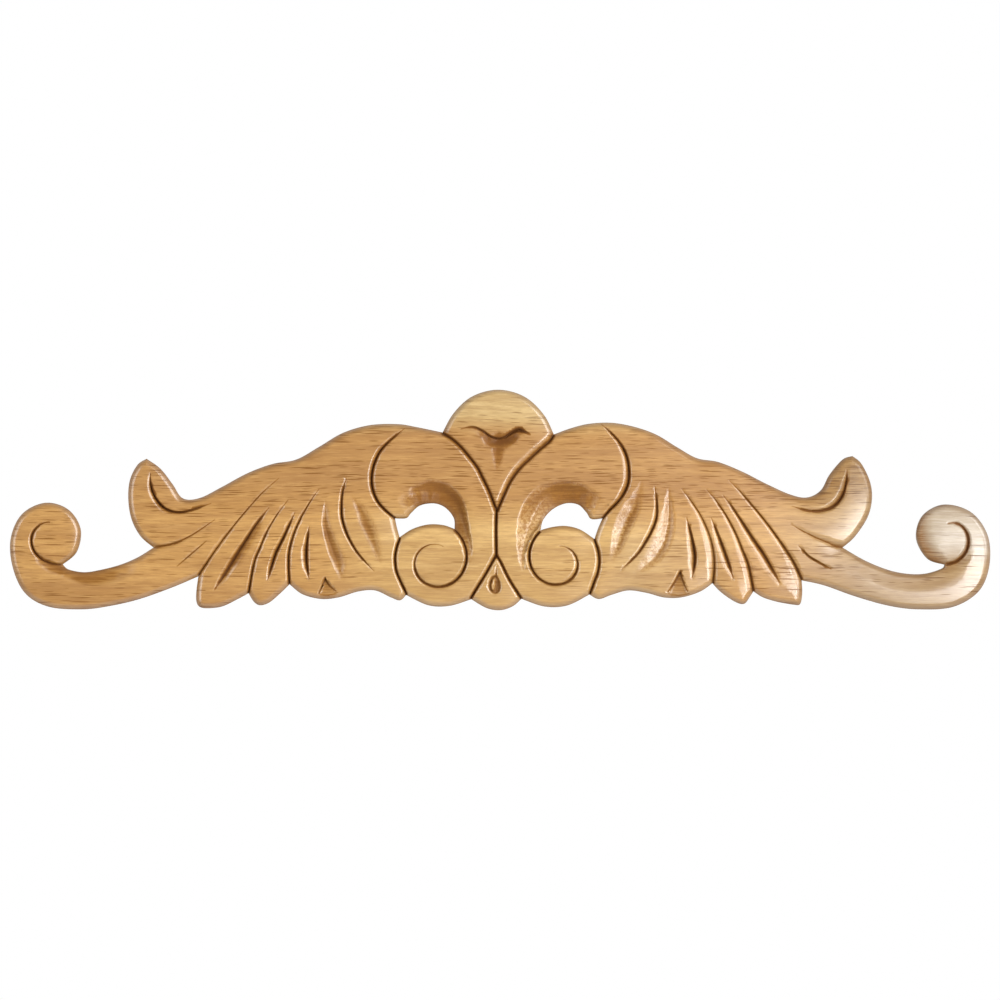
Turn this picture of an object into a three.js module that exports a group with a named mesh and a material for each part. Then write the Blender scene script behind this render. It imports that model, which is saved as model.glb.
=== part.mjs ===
// A long carved wood onlay: a crest in the middle, a leaf wing, an open eye over a scrolled
// disc, a curled tip and a tail with a volute on each side. One flat-backed board of wood.
// Millimetres. +X to the right, +Z up, the carved face looks along -Y, the back lies on y = 0.
// The origin is the middle of the back, in line with the middle of the length and the height.
import * as THREE from 'three';

// ---------------------------------------------------------------- driving sizes
const THICKNESS = 10.0;        // board, back to the highest wood
const EDGE_ROUND = 2.4;        // width and depth of the rounding worked along every edge of the face
const ARRIS = 0.3;             // slope at which that rounding leaves the face
const PILLOW = 0.8;            // slight fall of the face towards its edges
const PILLOW_REACH = 13.0;     // how far in from the edge that fall begins
const DEEPEST = 4.6;           // no cut goes deeper than this
const BLEND = 2.5;             // how softly lines, hollows and the rounded edge run into each other
const MEET = 6;                // the same for two lines or two hollows, which meet more sharply

const OUTLINE_STEP = 4.6;      // longest facet along the outline
const OUTLINE_SAG = 0.12;      // furthest a facet strays from the true outline
const CUT_STEP = 3.1;          // facet length along a cut
const FIELD_STEP = 4.4;        // facet size on the open face
const MERGE = 1.05;            // closest two corners of the face may lie

// ---------------------------------------------------------------- the drawing
// Outline runs go round the board from notch to notch; each gives the stations [x, z]
// of one named edge, and a smooth curve passes through them.
const OUTER = [
  ["left wing top", [[-26.8, 31.5], [-38.8, 34.0], [-47.8, 35.4], [-60.9, 34.9], [-73.3, 31.3], [-84.4, 24.8], [-95.0, 18.9], [-106.2, 16.8], [-117.8, 12.5], [-129.7, 6.1], [-140.2, 0.9], [-148.1, 0.8], [-152.8, 7.3], [-158.5, 14.6], [-164.9, 19.2]]],
  ["left tip back", [[-164.9, 19.2], [-169.1, 16.4], [-172.6, 9.4], [-173.4, 0.5], [-171.9, -8.9], [-167.7, -16.9], [-161.6, -22.2]]],
  ["left tail, upper edge", [[-161.6, -22.2], [-169.3, -26.9], [-177.5, -30.3], [-186.9, -32.7], [-194.4, -33.7], [-201.4, -32.4], [-204.1, -30.1]]],
  ["left volute and tail, lower edge", [[-204.1, -30.1], [-197.5, -24.1], [-195.8, -13.5], [-201.6, -4.4], [-212.2, -1.3], [-223.0, -6.6], [-228.3, -18.2], [-227.2, -31.8], [-221.4, -43.6], [-210.5, -49.8], [-194.6, -51.0], [-181.7, -49.4], [-168.4, -46.3], [-153.2, -40.9], [-140.7, -35.6]]],
  ["left first lobe", [[-140.7, -35.6], [-141.6, -42.2], [-141.6, -47.3], [-140.0, -49.9], [-136.0, -50.5], [-129.4, -49.6], [-122.3, -46.2], [-117.3, -43.5]]],
  ["left second lobe", [[-117.3, -43.5], [-114.7, -47.6], [-111.8, -49.1], [-107.6, -47.8], [-102.3, -43.3], [-98.2, -39.3]]],
  ["left third lobe", [[-98.2, -39.3], [-92.1, -44.0], [-83.3, -46.2], [-75.1, -45.4], [-66.2, -42.7], [-58.3, -42.2], [-50.8, -45.5], [-46.6, -46.8], [-43.8, -44.3]]],
  ["left disc foot", [[-43.8, -44.3], [-33.5, -49.1], [-23.6, -49.4], [-13.4, -46.3]]],
  ["centre foot", [[-13.4, -46.3], [-6.3, -50.4], [0.2, -51.4], [5.9, -49.6], [10.0, -46.1]]],
  ["right disc foot", [[10.0, -46.1], [20.8, -49.7], [31.4, -49.2], [41.7, -44.1]]],
  ["right third lobe", [[41.7, -44.1], [46.1, -46.2], [52.2, -44.2], [59.8, -42.2], [68.2, -43.3], [76.7, -45.5], [84.9, -45.4], [93.4, -42.7], [99.1, -38.8]]],
  ["right second lobe", [[99.1, -38.8], [102.3, -42.3], [107.0, -45.9], [111.5, -48.3], [114.3, -48.2], [116.4, -45.4], [118.2, -42.6]]],
  ["right first lobe", [[118.2, -42.6], [122.6, -45.4], [128.5, -47.3], [134.0, -48.4], [137.4, -48.9], [139.6, -48.9], [140.6, -46.8], [141.0, -42.4], [140.7, -37.5]]],
  ["right volute and tail, lower edge", [[140.7, -37.5], [151.4, -39.9], [165.8, -45.0], [181.2, -49.3], [195.0, -51.0], [211.2, -49.9], [223.2, -42.7], [228.2, -31.0], [227.6, -16.8], [219.9, -5.8], [207.3, -2.1], [197.2, -7.3], [194.2, -17.7], [199.3, -27.3], [207.4, -30.2]]],
  ["right tail, upper edge", [[207.4, -30.2], [206.2, -32.0], [198.9, -34.3], [190.8, -34.5], [181.4, -32.7], [170.4, -28.3], [159.8, -22.2]]],
  ["right tip back", [[159.8, -22.2], [165.5, -17.1], [171.4, -8.2], [173.5, 0.3], [172.6, 8.5], [168.6, 16.9], [164.4, 20.5]]],
  ["right wing top", [[164.4, 20.5], [159.8, 18.8], [153.8, 11.8], [149.7, 4.5], [143.3, 1.2], [135.3, 2.6], [123.7, 7.8], [113.3, 13.1], [101.9, 17.7], [91.9, 19.5], [82.8, 24.5], [73.1, 30.4], [63.2, 34.0], [52.4, 36.0], [41.9, 35.6], [33.4, 33.6], [25.1, 30.6]]],
  ["centre crest", [[25.1, 30.6], [20.8, 39.3], [13.3, 47.0], [4.5, 50.8], [-4.7, 51.1], [-14.2, 47.6], [-21.8, 40.3], [-26.8, 31.5]]],
];
const EYE_LEFT = [
  ["left eye, crown", [[-49.0, -8.6], [-43.8, -8.5], [-41.5, -6.1], [-37.3, -2.6], [-30.8, -1.6], [-25.5, -3.6], [-21.6, -8.4], [-21.2, -13.5]]],
  ["left eye, on the disc", [[-21.2, -13.5], [-26.5, -11.7], [-33.4, -11.4], [-40.8, -13.5], [-46.9, -17.4]]],
  ["left eye, on the leaf", [[-46.9, -17.4], [-48.2, -12.5], [-49.0, -8.6]]],
];
const EYE_RIGHT = [
  ["right eye, crown", [[18.9, -14.1], [20.2, -9.2], [24.5, -4.4], [30.7, -1.6], [36.5, -2.2], [40.3, -5.8], [42.6, -8.9], [47.8, -8.6]]],
  ["right eye, on the leaf", [[47.8, -8.6], [45.7, -13.4], [44.1, -18.2]]],
  ["right eye, on the disc", [[44.1, -18.2], [37.4, -13.8], [30.8, -12.1], [24.4, -12.6], [18.9, -14.1]]],
];
const CUTS = [
  {"name": "left volute spiral", "kind": "line", "solid": 1,
   "path": ["spiral", -211.6, -15.8, 5.69, 15.86, -16.37, 78, 295],
   "depth": [0.5, 1.7, 2.2, 2.2, 1.8], "left": [0.75, 1.27, 1.42, 1.65, 2.25], "right": [0.84, 1.68, 1.96, 1.96, 2.38], "shape_left": [1, 2], "shape_right": [1, 3]},
  {"name": "left curl", "kind": "line", "solid": 1,
   "path": [[-163.0, 12.1], [-162.8, 7.5], [-161.4, 2.6], [-158.4, -1.9], [-154.9, -4.6], [-150.2, -5.7], [-144.6, -4.9], [-134.8, -1.6]],
   "depth": [0.4, 2.3, 2.9, 2.7, 1.5, 0.2], "left": [0.38, 0.68, 0.9, 0.9, 0.75, 0.6], "right": [2.24, 3.22, 2.94, 1.96, 1.26, 0.7], "shape_left": [1, 2], "shape_right": [1, 3]},
  {"name": "left leaf over tail", "kind": "line", "solid": 1,
   "path": [[-160.6, -21.9], [-153.8, -20.7], [-148.0, -18.6], [-141.7, -15.1], [-133.3, -9.4]],
   "depth": [2.0, 1.5, 1.1, 0.8, 0.2], "left": [1.65, 1.12, 0.75, 0.52], "right": [2.52, 1.82, 0.98, 0.56], "shape_left": [1, 2], "shape_right": [1, 2]},
  {"name": "left vein", "kind": "line", "solid": 0,
   "path": [[-150.1, -30.5], [-144.6, -25.7], [-136.9, -19.1]],
   "depth": [0.3, 1.0, 0.8, 0.2], "left": [0.45, 0.6, 0.45], "right": [0.42, 0.56, 0.42], "shape_left": [1, 2], "shape_right": [1, 2]},
  {"name": "left lobe line a", "kind": "line", "solid": 1,
   "path": [[-103.5, 9.8], [-111.1, 3.1], [-118.8, -5.5], [-126.4, -14.8], [-133.1, -23.9], [-140.4, -34.7]],
   "depth": [0.2, 0.9, 1.3, 1.6, 2.4], "left": [0.52, 0.83, 1.05, 1.35, 1.65], "right": [0.49, 0.77, 0.98, 1.26, 1.54], "shape_left": [1, 2], "shape_right": [1, 2]},
  {"name": "left gouge a", "kind": "line", "solid": 1,
   "path": [[-107.7, -3.5], [-113.5, -11.0], [-118.3, -18.2], [-123.0, -25.6], [-127.8, -33.5], [-133.1, -41.7]],
   "depth": [0.2, 1.6, 2.3, 2.7, 2.3, 0.3], "left": [0.68, 2.04, 2.89, 3.57, 3.4, 1.7], "right": [0.62, 1.25, 1.72, 2.18, 2.18, 1.4], "shape_left": [1, 2], "shape_right": [1, 2]},
  {"name": "left gouge a, bank", "kind": "hollow", "solid": 0,
   "path": [[-110.5, -6.5], [-113.5, -11.0], [-118.3, -18.2], [-123.0, -25.6], [-127.8, -33.5]],
   "depth": [0.1, 0.6, 0.75, 0.6, 0.1], "left": [3.0, 4.8, 5.2, 4.8, 3.0], "right": [0.6], "shape_left": [1, 1.4], "shape_right": [2, 2]},
  {"name": "left lobe line b", "kind": "line", "solid": 1,
   "path": [[-98.9, 0.0], [-103.9, -6.7], [-108.7, -14.8], [-112.1, -22.5], [-114.7, -29.2], [-117.2, -43.1]],
   "depth": [0.2, 1.2, 1.6, 1.9, 2.6], "left": [0.52, 0.9, 1.2, 1.35, 1.5], "right": [0.56, 0.98, 1.4, 1.68, 1.82], "shape_left": [1, 2], "shape_right": [1, 3]},
  {"name": "left gouge b", "kind": "line", "solid": 1,
   "path": [[-95.8, -6.1], [-98.0, -11.0], [-101.1, -17.7], [-104.4, -24.4], [-106.6, -31.1], [-108.3, -37.1]],
   "depth": [0.2, 1.7, 2.5, 2.7, 2.3, 0.3], "left": [0.48, 1.08, 1.56, 1.8, 1.68, 0.96], "right": [0.62, 1.25, 1.72, 2.03, 2.03, 1.25], "shape_left": [1, 2], "shape_right": [1, 2]},
  {"name": "left lobe line c", "kind": "line", "solid": 1,
   "path": [[-84.6, 4.8], [-87.9, 0.2], [-92.0, -6.7], [-95.3, -13.4], [-97.5, -20.1], [-98.6, -26.8], [-98.3, -39.1]],
   "depth": [0.2, 1.2, 1.7, 1.9, 2.3, 2.8], "left": [0.6, 0.9, 1.12, 1.27, 1.35, 1.5], "right": [0.56, 0.98, 1.4, 1.68, 1.82, 1.82], "shape_left": [1, 2], "shape_right": [1, 3]},
  {"name": "left gouge c", "kind": "line", "solid": 1,
   "path": [[-89.0, -12.6], [-89.9, -19.1], [-90.3, -24.3], [-90.1, -29.9], [-89.1, -36.6]],
   "depth": [0.2, 2.1, 2.9, 2.5, 0.3], "left": [0.54, 1.56, 2.16, 2.04, 0.84], "right": [0.7, 2.18, 3.43, 3.28, 1.25], "shape_left": [1, 3], "shape_right": [1, 3]},
  {"name": "left nick, near leg", "kind": "line", "solid": 1,
   "path": [[-81.5, -36.7], [-82.7, -39.6], [-84.4, -43.1]],
   "depth": [1.9, 1.4, 0.7], "left": [0.6], "right": [0.56], "shape_left": [1, 2], "shape_right": [1, 2]},
  {"name": "left nick, far leg", "kind": "line", "solid": 1,
   "path": [[-81.5, -36.7], [-79.7, -39.9], [-76.5, -42.4]],
   "depth": [1.9, 1.4, 0.5], "left": [0.6], "right": [0.56], "shape_left": [1, 2], "shape_right": [1, 2]},
  {"name": "left nick floor", "kind": "hollow", "solid": 0,
   "path": [[-81.5, -37.1], [-80.6, -40.6], [-80.2, -43.8]],
   "depth": [1.5, 1.2, 0.9, 0.5], "left": [0.3, 1.5, 3.2, 4.4], "right": [0.3, 1.5, 3.2, 4.4], "shape_left": [8, 1], "shape_right": [8, 1]},
  {"name": "left nick foot", "kind": "line", "solid": 0,
   "path": [[-84.2, -43.8], [-80.2, -44.4], [-75.8, -43.2]],
   "depth": [0.3, 0.7, 0.3], "left": [0.45], "right": [0.42], "shape_left": [1, 2], "shape_right": [1, 2]},
  {"name": "left hollow d", "kind": "hollow", "solid": 1,
   "path": [[-81.2, -0.5], [-81.4, -6.5], [-81.2, -12.1], [-79.5, -18.2], [-77.4, -23.8], [-75.3, -29.4], [-73.7, -35.9]],
   "depth": [0.1, 0.6, 1.1, 1.4, 1.7, 1.3, 0.2], "left": [1.2, 2.6, 3.4, 4.2, 4.8, 4.8, 2.6], "right": [1.0, 1.8, 2.2, 2.8, 3.4, 3.2, 2.0], "shape_left": [1, 1.8], "shape_right": [2, 2]},
  {"name": "left line e", "kind": "line", "solid": 1,
   "path": [[-71.9, 9.8], [-73.3, 4.3], [-73.9, -2.3], [-73.6, -8.6], [-71.6, -15.3], [-68.5, -21.5], [-64.7, -26.8], [-59.2, -32.7]],
   "depth": [0.3, 1.7, 2.3, 2.3, 2.1, 1.5, 0.2], "left": [0.52, 0.9, 1.12, 1.12, 1.05, 0.9, 0.6], "right": [0.63, 1.68, 2.1, 1.96, 1.54, 1.12, 0.63], "shape_left": [1, 2], "shape_right": [1, 3]},
  {"name": "left hollow f", "kind": "hollow", "solid": 1,
   "path": [[-68.8, 1.4], [-65.5, -3.7], [-62.5, -10.3], [-59.9, -16.3], [-57.8, -22.4], [-56.0, -28.5]],
   "depth": [0.1, 0.6, 0.85, 0.7, 0.45, 0.1], "left": [1.6, 3.4, 4.4, 4.2, 3.2, 2.0], "right": [1.8, 3.4, 4.4, 4.2, 3.2, 2.0], "shape_left": [1, 1.8], "shape_right": [2, 3]},
  {"name": "left collar line", "kind": "line", "solid": 1,
   "path": [[-44.5, 33.4], [-49.6, 29.2], [-54.1, 25.0], [-57.0, 20.9], [-59.0, 15.8], [-59.9, 10.4], [-59.4, 5.0], [-57.2, -0.4], [-53.4, -4.9], [-49.2, -8.4]],
   "depth": [0.2, 1.9, 2.6, 2.7, 2.7, 2.7, 2.8], "left": [0.6, 1.05, 1.27, 1.27, 1.27, 1.2, 1.2], "right": [0.63, 1.68, 2.38, 2.38, 2.1, 1.82, 1.4], "shape_left": [1, 2], "shape_right": [1, 3]},
  {"name": "left leaf at the disc", "kind": "line", "solid": 1,
   "path": [[-46.8, -18.0], [-48.1, -21.9], [-48.9, -26.1], [-48.8, -29.9], [-47.9, -34.4], [-43.6, -43.8]],
   "depth": [3.0, 2.8, 2.6, 2.6, 3.0], "left": [1.12], "right": [1.82], "shape_left": [1, 2], "shape_right": [1, 3]},
  {"name": "left disc spiral", "kind": "line", "solid": 1,
   "path": ["spiral", -30.6, -29.1, 8.49, 17.63, -10.49, 63, 417],
   "depth": [0.2, 1.2, 1.8, 2.2, 2.6, 2.8, 3.0], "left": [0.6, 0.9, 1.12, 1.65, 1.95, 1.35, 1.2], "right": [0.56, 1.12, 1.82, 1.96, 1.68, 1.82, 1.82], "shape_left": [1, 2], "shape_right": [1, 3]},
  {"name": "left cove", "kind": "cove", "solid": 1,
   "path": [[-48.5, -0.2], [-45.2, 0.5], [-42.0, 1.4], [-38.7, 2.5], [-34.5, 3.2], [-29.9, 2.9], [-25.2, 0.9], [-21.5, -3.3], [-18.9, -8.9], [-16.6, -14.9], [-14.7, -21.0], [-14.0, -27.5]],
   "depth": [0.05, 0.35, 1.0, 2.0, 3.1, 3.6, 3.6, 3.0, 2.2, 1.3, 0.2], "left": [1.0, 2.6, 5.4, 7.0, 7.0, 6.2, 5.0, 3.8, 2.8, 2.0, 1.2], "right": [2.0, 4.5, 7.0, 8.0, 8.0, 8.0, 7.0, 5.0, 3.0, 1.8, 1.2], "shape_left": [2, 1.3], "shape_right": [8, 1]},
  {"name": "crest, left side", "kind": "line", "solid": 1,
   "path": [[-26.6, 31.1], [-22.3, 28.4], [-18.2, 24.7], [-14.4, 20.2], [-10.6, 15.2], [-7.9, 9.9], [-4.9, 3.7], [-1.7, -4.7]],
   "depth": [3.0, 2.6, 2.4, 2.4, 2.5, 2.8], "left": [1.7], "right": [2.2], "shape_left": [1, 2], "shape_right": [1, 2]},
  {"name": "crest, right side", "kind": "line", "solid": 1,
   "path": [[24.9, 30.0], [23.1, 27.4], [18.1, 23.1], [13.5, 18.8], [9.0, 14.4], [5.0, 8.8], [2.1, 2.8], [-1.3, -5.1]],
   "depth": [3.0, 2.6, 2.4, 2.4, 2.5, 2.8], "left": [1.6], "right": [3.6, 4.0, 3.8, 3.4, 3.0], "shape_left": [1, 2], "shape_right": [1, 3]},
  {"name": "stem", "kind": "line", "solid": 1,
   "path": [[-1.6, -3.7], [-1.9, -14.0], [-1.7, -26.6]],
   "depth": [2.8, 2.8, 2.8], "left": [1.42], "right": [1.96], "shape_left": [1, 2], "shape_right": [1, 3]},
  {"name": "foot, left side", "kind": "line", "solid": 1,
   "path": [[-1.8, -25.7], [-4.0, -29.7], [-7.1, -35.2], [-10.7, -41.0], [-13.5, -45.7]],
   "depth": [2.8, 2.4, 2.4, 2.6, 3.0], "left": [1.12], "right": [2.24], "shape_left": [1, 2], "shape_right": [1, 3]},
  {"name": "foot, right side", "kind": "line", "solid": 1,
   "path": [[-1.7, -25.7], [0.3, -28.9], [3.1, -34.7], [5.2, -38.5], [9.8, -45.7]],
   "depth": [2.8, 2.4, 2.4, 2.6, 3.0], "left": [1.05], "right": [1.82], "shape_left": [1, 2], "shape_right": [1, 3]},
  {"name": "brow ledge", "kind": "line", "solid": 1,
   "path": [[-18.2, 33.2], [-14.9, 33.9], [-11.6, 33.8], [-7.8, 32.0], [-4.4, 29.6], [-0.9, 28.6], [1.9, 29.1], [4.8, 31.0], [8.2, 32.6], [10.7, 32.2], [13.5, 30.8]],
   "depth": [0.3, 1.0, 1.6, 2.4, 3.1, 3.2, 2.8, 0.6], "left": [0.8, 0.8, 0.9, 0.9, 0.9, 1.0, 1.2, 0.8], "right": [0.8, 0.9, 1.2, 2.2, 3.6, 3.8, 3.2, 1.2], "shape_left": [1, 1.6], "shape_right": [1, 2.6]},
  {"name": "brow shade", "kind": "hollow", "solid": 0,
   "path": [[-11.7, 32.7], [-7.9, 30.6], [-4.7, 28.2], [-0.5, 27.3], [3.3, 28.2], [6.5, 30.1], [9.8, 31.3]],
   "depth": [0.1, 0.4, 1.2, 1.8, 1.7, 1.4, 0.3], "left": [1.2, 1.4, 1.6, 1.8, 1.4], "right": [1.6, 3.0, 4.6, 5.2, 4.4, 2.6], "shape_left": [2, 2], "shape_right": [2, 3]},
  {"name": "brow keel", "kind": "hollow", "solid": 1,
   "path": [[-1.1, 28.0], [-1.1, 24.3], [-1.2, 19.6], [-1.5, 14.5]],
   "depth": [1.1, 0.7, 0.4, 0.1], "left": [5.0, 4.2, 3.2, 1.6], "right": [4.6, 4.0, 3.0, 1.8], "shape_left": [2, 2], "shape_right": [2, 3]},
  {"name": "tear stalk", "kind": "line", "solid": 0,
   "path": [[-1.6, -31.0], [-1.7, -33.1], [-1.9, -36.1]],
   "depth": [0.2, 0.6, 1.2], "left": [1.2, 0.9, 0.7], "right": [1.2, 0.9, 0.7], "shape_left": [1, 2], "shape_right": [1, 2]},
  {"name": "tear rim", "kind": "line", "solid": 0,
   "path": [[-2.0, -35.5], [-3.5, -36.3], [-4.2, -38.1], [-4.6, -40.0], [-4.1, -41.9], [-2.5, -43.0], [-1.0, -42.4], [-0.4, -40.7], [-0.6, -38.8], [-1.2, -37.0], [-2.0, -35.5]],
   "depth": [1.2, 1.5, 1.5, 1.5, 1.5, 1.5, 1.2], "left": [0.9], "right": [1.3], "shape_left": [1, 2], "shape_right": [1, 2]},
  {"name": "tear pit", "kind": "hollow", "solid": 0,
   "path": [[-1.9, -36.6], [-1.3, -39.4], [-1.8, -42.0]],
   "depth": [0.9, 1.3, 1.2], "left": [1.0, 1.1, 1.2], "right": [0.9, 1.2, 1.4], "shape_left": [3, 1], "shape_right": [3, 1]},
  {"name": "right volute spiral", "kind": "line", "solid": 1,
   "path": ["spiral", 206.9, -16.5, 6.11, 13.67, 6.95, 66, -83],
   "depth": [0.5, 1.8, 2.4, 2.6, 2.6], "left": [0.9, 1.5, 1.8, 1.95, 2.25], "right": [0.84, 1.68, 1.96, 1.96, 2.1], "shape_left": [1, 2], "shape_right": [1, 2]},
  {"name": "right curl", "kind": "line", "solid": 1,
   "path": [[161.8, 14.0], [161.6, 9.2], [160.4, 3.8], [158.2, -0.3], [154.6, -3.5], [149.2, -5.1], [143.3, -4.9], [136.2, -2.9]],
   "depth": [0.3, 1.9, 2.8, 2.8, 1.9, 1.0, 0.2], "left": [0.45, 0.75, 1.2, 1.65, 1.65, 1.2, 0.75], "right": [1.12, 2.94, 3.5, 3.22, 2.1, 1.26, 0.7], "shape_left": [1, 2], "shape_right": [1, 3]},
  {"name": "right leaf over tail", "kind": "line", "solid": 1,
   "path": [[159.3, -22.0], [155.9, -21.1], [150.9, -19.0], [145.4, -16.7], [135.7, -11.4]],
   "depth": [2.0, 1.6, 1.2, 0.8, 0.2], "left": [1.8, 1.65, 1.35, 1.05, 0.75], "right": [3.5, 3.22, 2.38, 1.4, 0.7], "shape_left": [1, 2], "shape_right": [1, 2]},
  {"name": "right vein", "kind": "line", "solid": 0,
   "path": [[139.5, -21.6], [143.8, -26.1], [148.3, -28.9], [154.4, -32.2]],
   "depth": [0.2, 1.5, 1.7, 1.2, 0.2], "left": [0.6, 0.9, 0.9, 0.6], "right": [0.56, 0.84, 0.84, 0.56], "shape_left": [1, 2], "shape_right": [1, 2]},
  {"name": "right lobe line a", "kind": "line", "solid": 1,
   "path": [[107.1, 8.9], [112.9, 2.9], [119.6, -4.8], [126.3, -13.2], [132.5, -22.0], [137.3, -29.7], [140.6, -36.8]],
   "depth": [0.2, 1.1, 1.6, 1.9, 2.2, 2.8], "left": [0.52, 0.75, 0.98, 1.05, 1.2, 1.35], "right": [0.7, 1.68, 2.24, 2.66, 2.8, 2.38], "shape_left": [1, 2], "shape_right": [1, 3]},
  {"name": "right gouge a", "kind": "line", "solid": 1,
   "path": [[104.3, 1.9], [108.1, -3.1], [112.9, -10.3], [117.7, -17.7], [122.5, -24.6], [126.8, -32.0], [130.4, -38.7]],
   "depth": [0.2, 1.5, 2.2, 2.6, 2.3, 0.3], "left": [0.48, 0.96, 1.32, 1.68, 1.68, 0.96], "right": [0.78, 2.03, 2.96, 3.74, 3.9, 2.34], "shape_left": [1, 2], "shape_right": [1, 3]},
  {"name": "right lobe line b", "kind": "line", "solid": 1,
   "path": [[96.4, 4.8], [100.9, -0.5], [105.7, -7.6], [109.8, -15.3], [113.2, -23.5], [116.0, -31.1], [118.2, -42.2]],
   "depth": [0.2, 1.1, 1.6, 1.9, 2.2, 2.8], "left": [0.52, 0.75, 0.98, 1.05, 1.2, 1.35], "right": [0.7, 1.82, 2.52, 2.8, 2.94, 2.38], "shape_left": [1, 2], "shape_right": [1, 3]},
  {"name": "right gouge b", "kind": "line", "solid": 1,
   "path": [[98.8, -8.9], [101.9, -16.7], [104.8, -24.4], [107.1, -31.1], [108.8, -36.4]],
   "depth": [0.2, 1.8, 2.5, 2.3, 0.3], "left": [0.48, 0.96, 1.32, 1.32, 0.84], "right": [0.94, 2.5, 3.28, 3.43, 1.87], "shape_left": [1, 2], "shape_right": [1, 3]},
  {"name": "right lobe line c", "kind": "line", "solid": 1,
   "path": [[84.9, 5.0], [89.5, -1.0], [93.8, -7.6], [97.3, -15.3], [99.3, -22.5], [100.0, -30.1], [99.4, -38.7]],
   "depth": [0.2, 1.1, 1.6, 1.9, 2.2, 2.8], "left": [0.52, 0.75, 0.98, 1.05, 1.2, 1.35], "right": [0.84, 2.1, 2.94, 3.36, 3.36, 2.52], "shape_left": [1, 2], "shape_right": [1, 3]},
  {"name": "right gouge c", "kind": "line", "solid": 1,
   "path": [[87.2, -8.9], [89.2, -16.3], [90.6, -23.3], [90.9, -28.2], [89.8, -35.9]],
   "depth": [0.2, 1.8, 2.8, 2.6, 0.3], "left": [0.48, 0.84, 1.08, 1.2, 0.72], "right": [0.94, 2.81, 3.9, 3.9, 1.87], "shape_left": [1, 2], "shape_right": [1, 3]},
  {"name": "right nick, near leg", "kind": "line", "solid": 1,
   "path": [[84.1, -33.5], [81.4, -38.7], [78.4, -42.9]],
   "depth": [1.8, 1.3, 0.5], "left": [0.6], "right": [1.68], "shape_left": [1, 2], "shape_right": [1, 3]},
  {"name": "right nick, far leg", "kind": "line", "solid": 1,
   "path": [[84.1, -33.5], [85.4, -38.2], [87.4, -42.4]],
   "depth": [1.8, 1.3, 0.6], "left": [0.6], "right": [0.56], "shape_left": [1, 2], "shape_right": [1, 2]},
  {"name": "right nick floor", "kind": "hollow", "solid": 0,
   "path": [[84.1, -34.5], [83.5, -38.7], [83.0, -43.8]],
   "depth": [1.8, 1.4, 1.0, 0.5], "left": [0.4, 1.7, 3.4, 4.4], "right": [0.4, 1.7, 3.4, 4.4], "shape_left": [8, 1], "shape_right": [8, 1]},
  {"name": "right nick foot", "kind": "line", "solid": 0,
   "path": [[78.4, -43.8], [83.0, -44.5], [88.2, -43.6]],
   "depth": [0.3, 0.7, 0.3], "left": [0.45], "right": [0.42], "shape_left": [1, 2], "shape_right": [1, 2]},
  {"name": "right hollow d", "kind": "hollow", "solid": 1,
   "path": [[78.6, 4.7], [78.8, -2.3], [78.8, -8.9], [78.1, -14.5], [76.5, -20.1], [73.2, -25.7], [68.6, -30.3], [63.9, -33.6]],
   "depth": [0.1, 0.6, 1.0, 1.2, 1.2, 1.0, 0.5, 0.05], "left": [1.2, 2.5, 3.4, 3.8, 4.0, 3.8, 3.0, 2.0], "right": [1.2, 2.8, 4.8, 6.2, 6.8, 6.4, 5.0, 2.6], "shape_left": [1.3, 1.8], "shape_right": [1.2, 1.9]},
  {"name": "right line e", "kind": "line", "solid": 1,
   "path": [[72.3, 5.6], [73.2, -1.4], [73.0, -8.1], [71.0, -13.9], [67.9, -19.6], [63.9, -25.4], [56.7, -32.4]],
   "depth": [0.3, 1.7, 2.3, 2.4, 2.1, 1.5, 0.2], "left": [0.52, 0.83, 1.05, 1.05, 1.05, 0.9, 0.6], "right": [0.7, 1.68, 2.24, 2.24, 1.82, 1.12, 0.63], "shape_left": [1, 2], "shape_right": [1, 3]},
  {"name": "right hollow f", "kind": "hollow", "solid": 1,
   "path": [[65.8, 7.5], [63.9, 0.5], [61.8, -5.1], [59.5, -10.3], [56.9, -16.3], [55.3, -21.5], [52.7, -27.1]],
   "depth": [0.1, 0.35, 1.0, 1.3, 1.2, 0.8, 0.1], "left": [1.6, 3.2, 4.0, 4.0, 3.8, 3.0, 1.8], "right": [1.6, 3.6, 5.6, 6.2, 5.6, 4.4, 2.4], "shape_left": [1.2, 1.6], "shape_right": [2, 2]},
  {"name": "right collar line", "kind": "line", "solid": 1,
   "path": [[47.3, 35.4], [52.3, 30.8], [56.1, 26.3], [58.8, 21.2], [60.1, 14.9], [59.9, 8.6], [58.1, 3.7], [55.0, -0.8], [50.9, -4.9], [47.9, -8.5]],
   "depth": [0.2, 1.7, 2.6, 2.7, 2.7, 2.7, 2.8], "left": [0.6, 0.9, 1.12, 1.2, 1.27, 1.2, 1.2], "right": [0.7, 1.96, 2.94, 3.22, 3.08, 2.24, 1.26], "shape_left": [1, 2], "shape_right": [1, 3]},
  {"name": "right leaf at the disc", "kind": "line", "solid": 1,
   "path": [[44.1, -18.5], [45.7, -23.5], [46.3, -28.5], [45.5, -33.9], [43.8, -38.5], [42.0, -43.6]],
   "depth": [3.0, 2.8, 2.7, 2.7, 3.0], "left": [1.35], "right": [2.24], "shape_left": [1, 2], "shape_right": [1, 3]},
  {"name": "right disc spiral", "kind": "line", "solid": 1,
   "path": ["spiral", 27.9, -29.0, 7.51, 16.88, -9.24, 90, -236],
   "depth": [0.3, 1.6, 2.2, 2.4, 2.5, 2.8, 3.0], "left": [0.6, 1.05, 1.35, 1.42, 1.65, 1.8, 1.65], "right": [0.56, 1.96, 2.38, 1.68, 1.4, 1.26, 1.12], "shape_left": [1, 2], "shape_right": [1, 3]},
  {"name": "right cove", "kind": "cove", "solid": 1,
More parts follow.
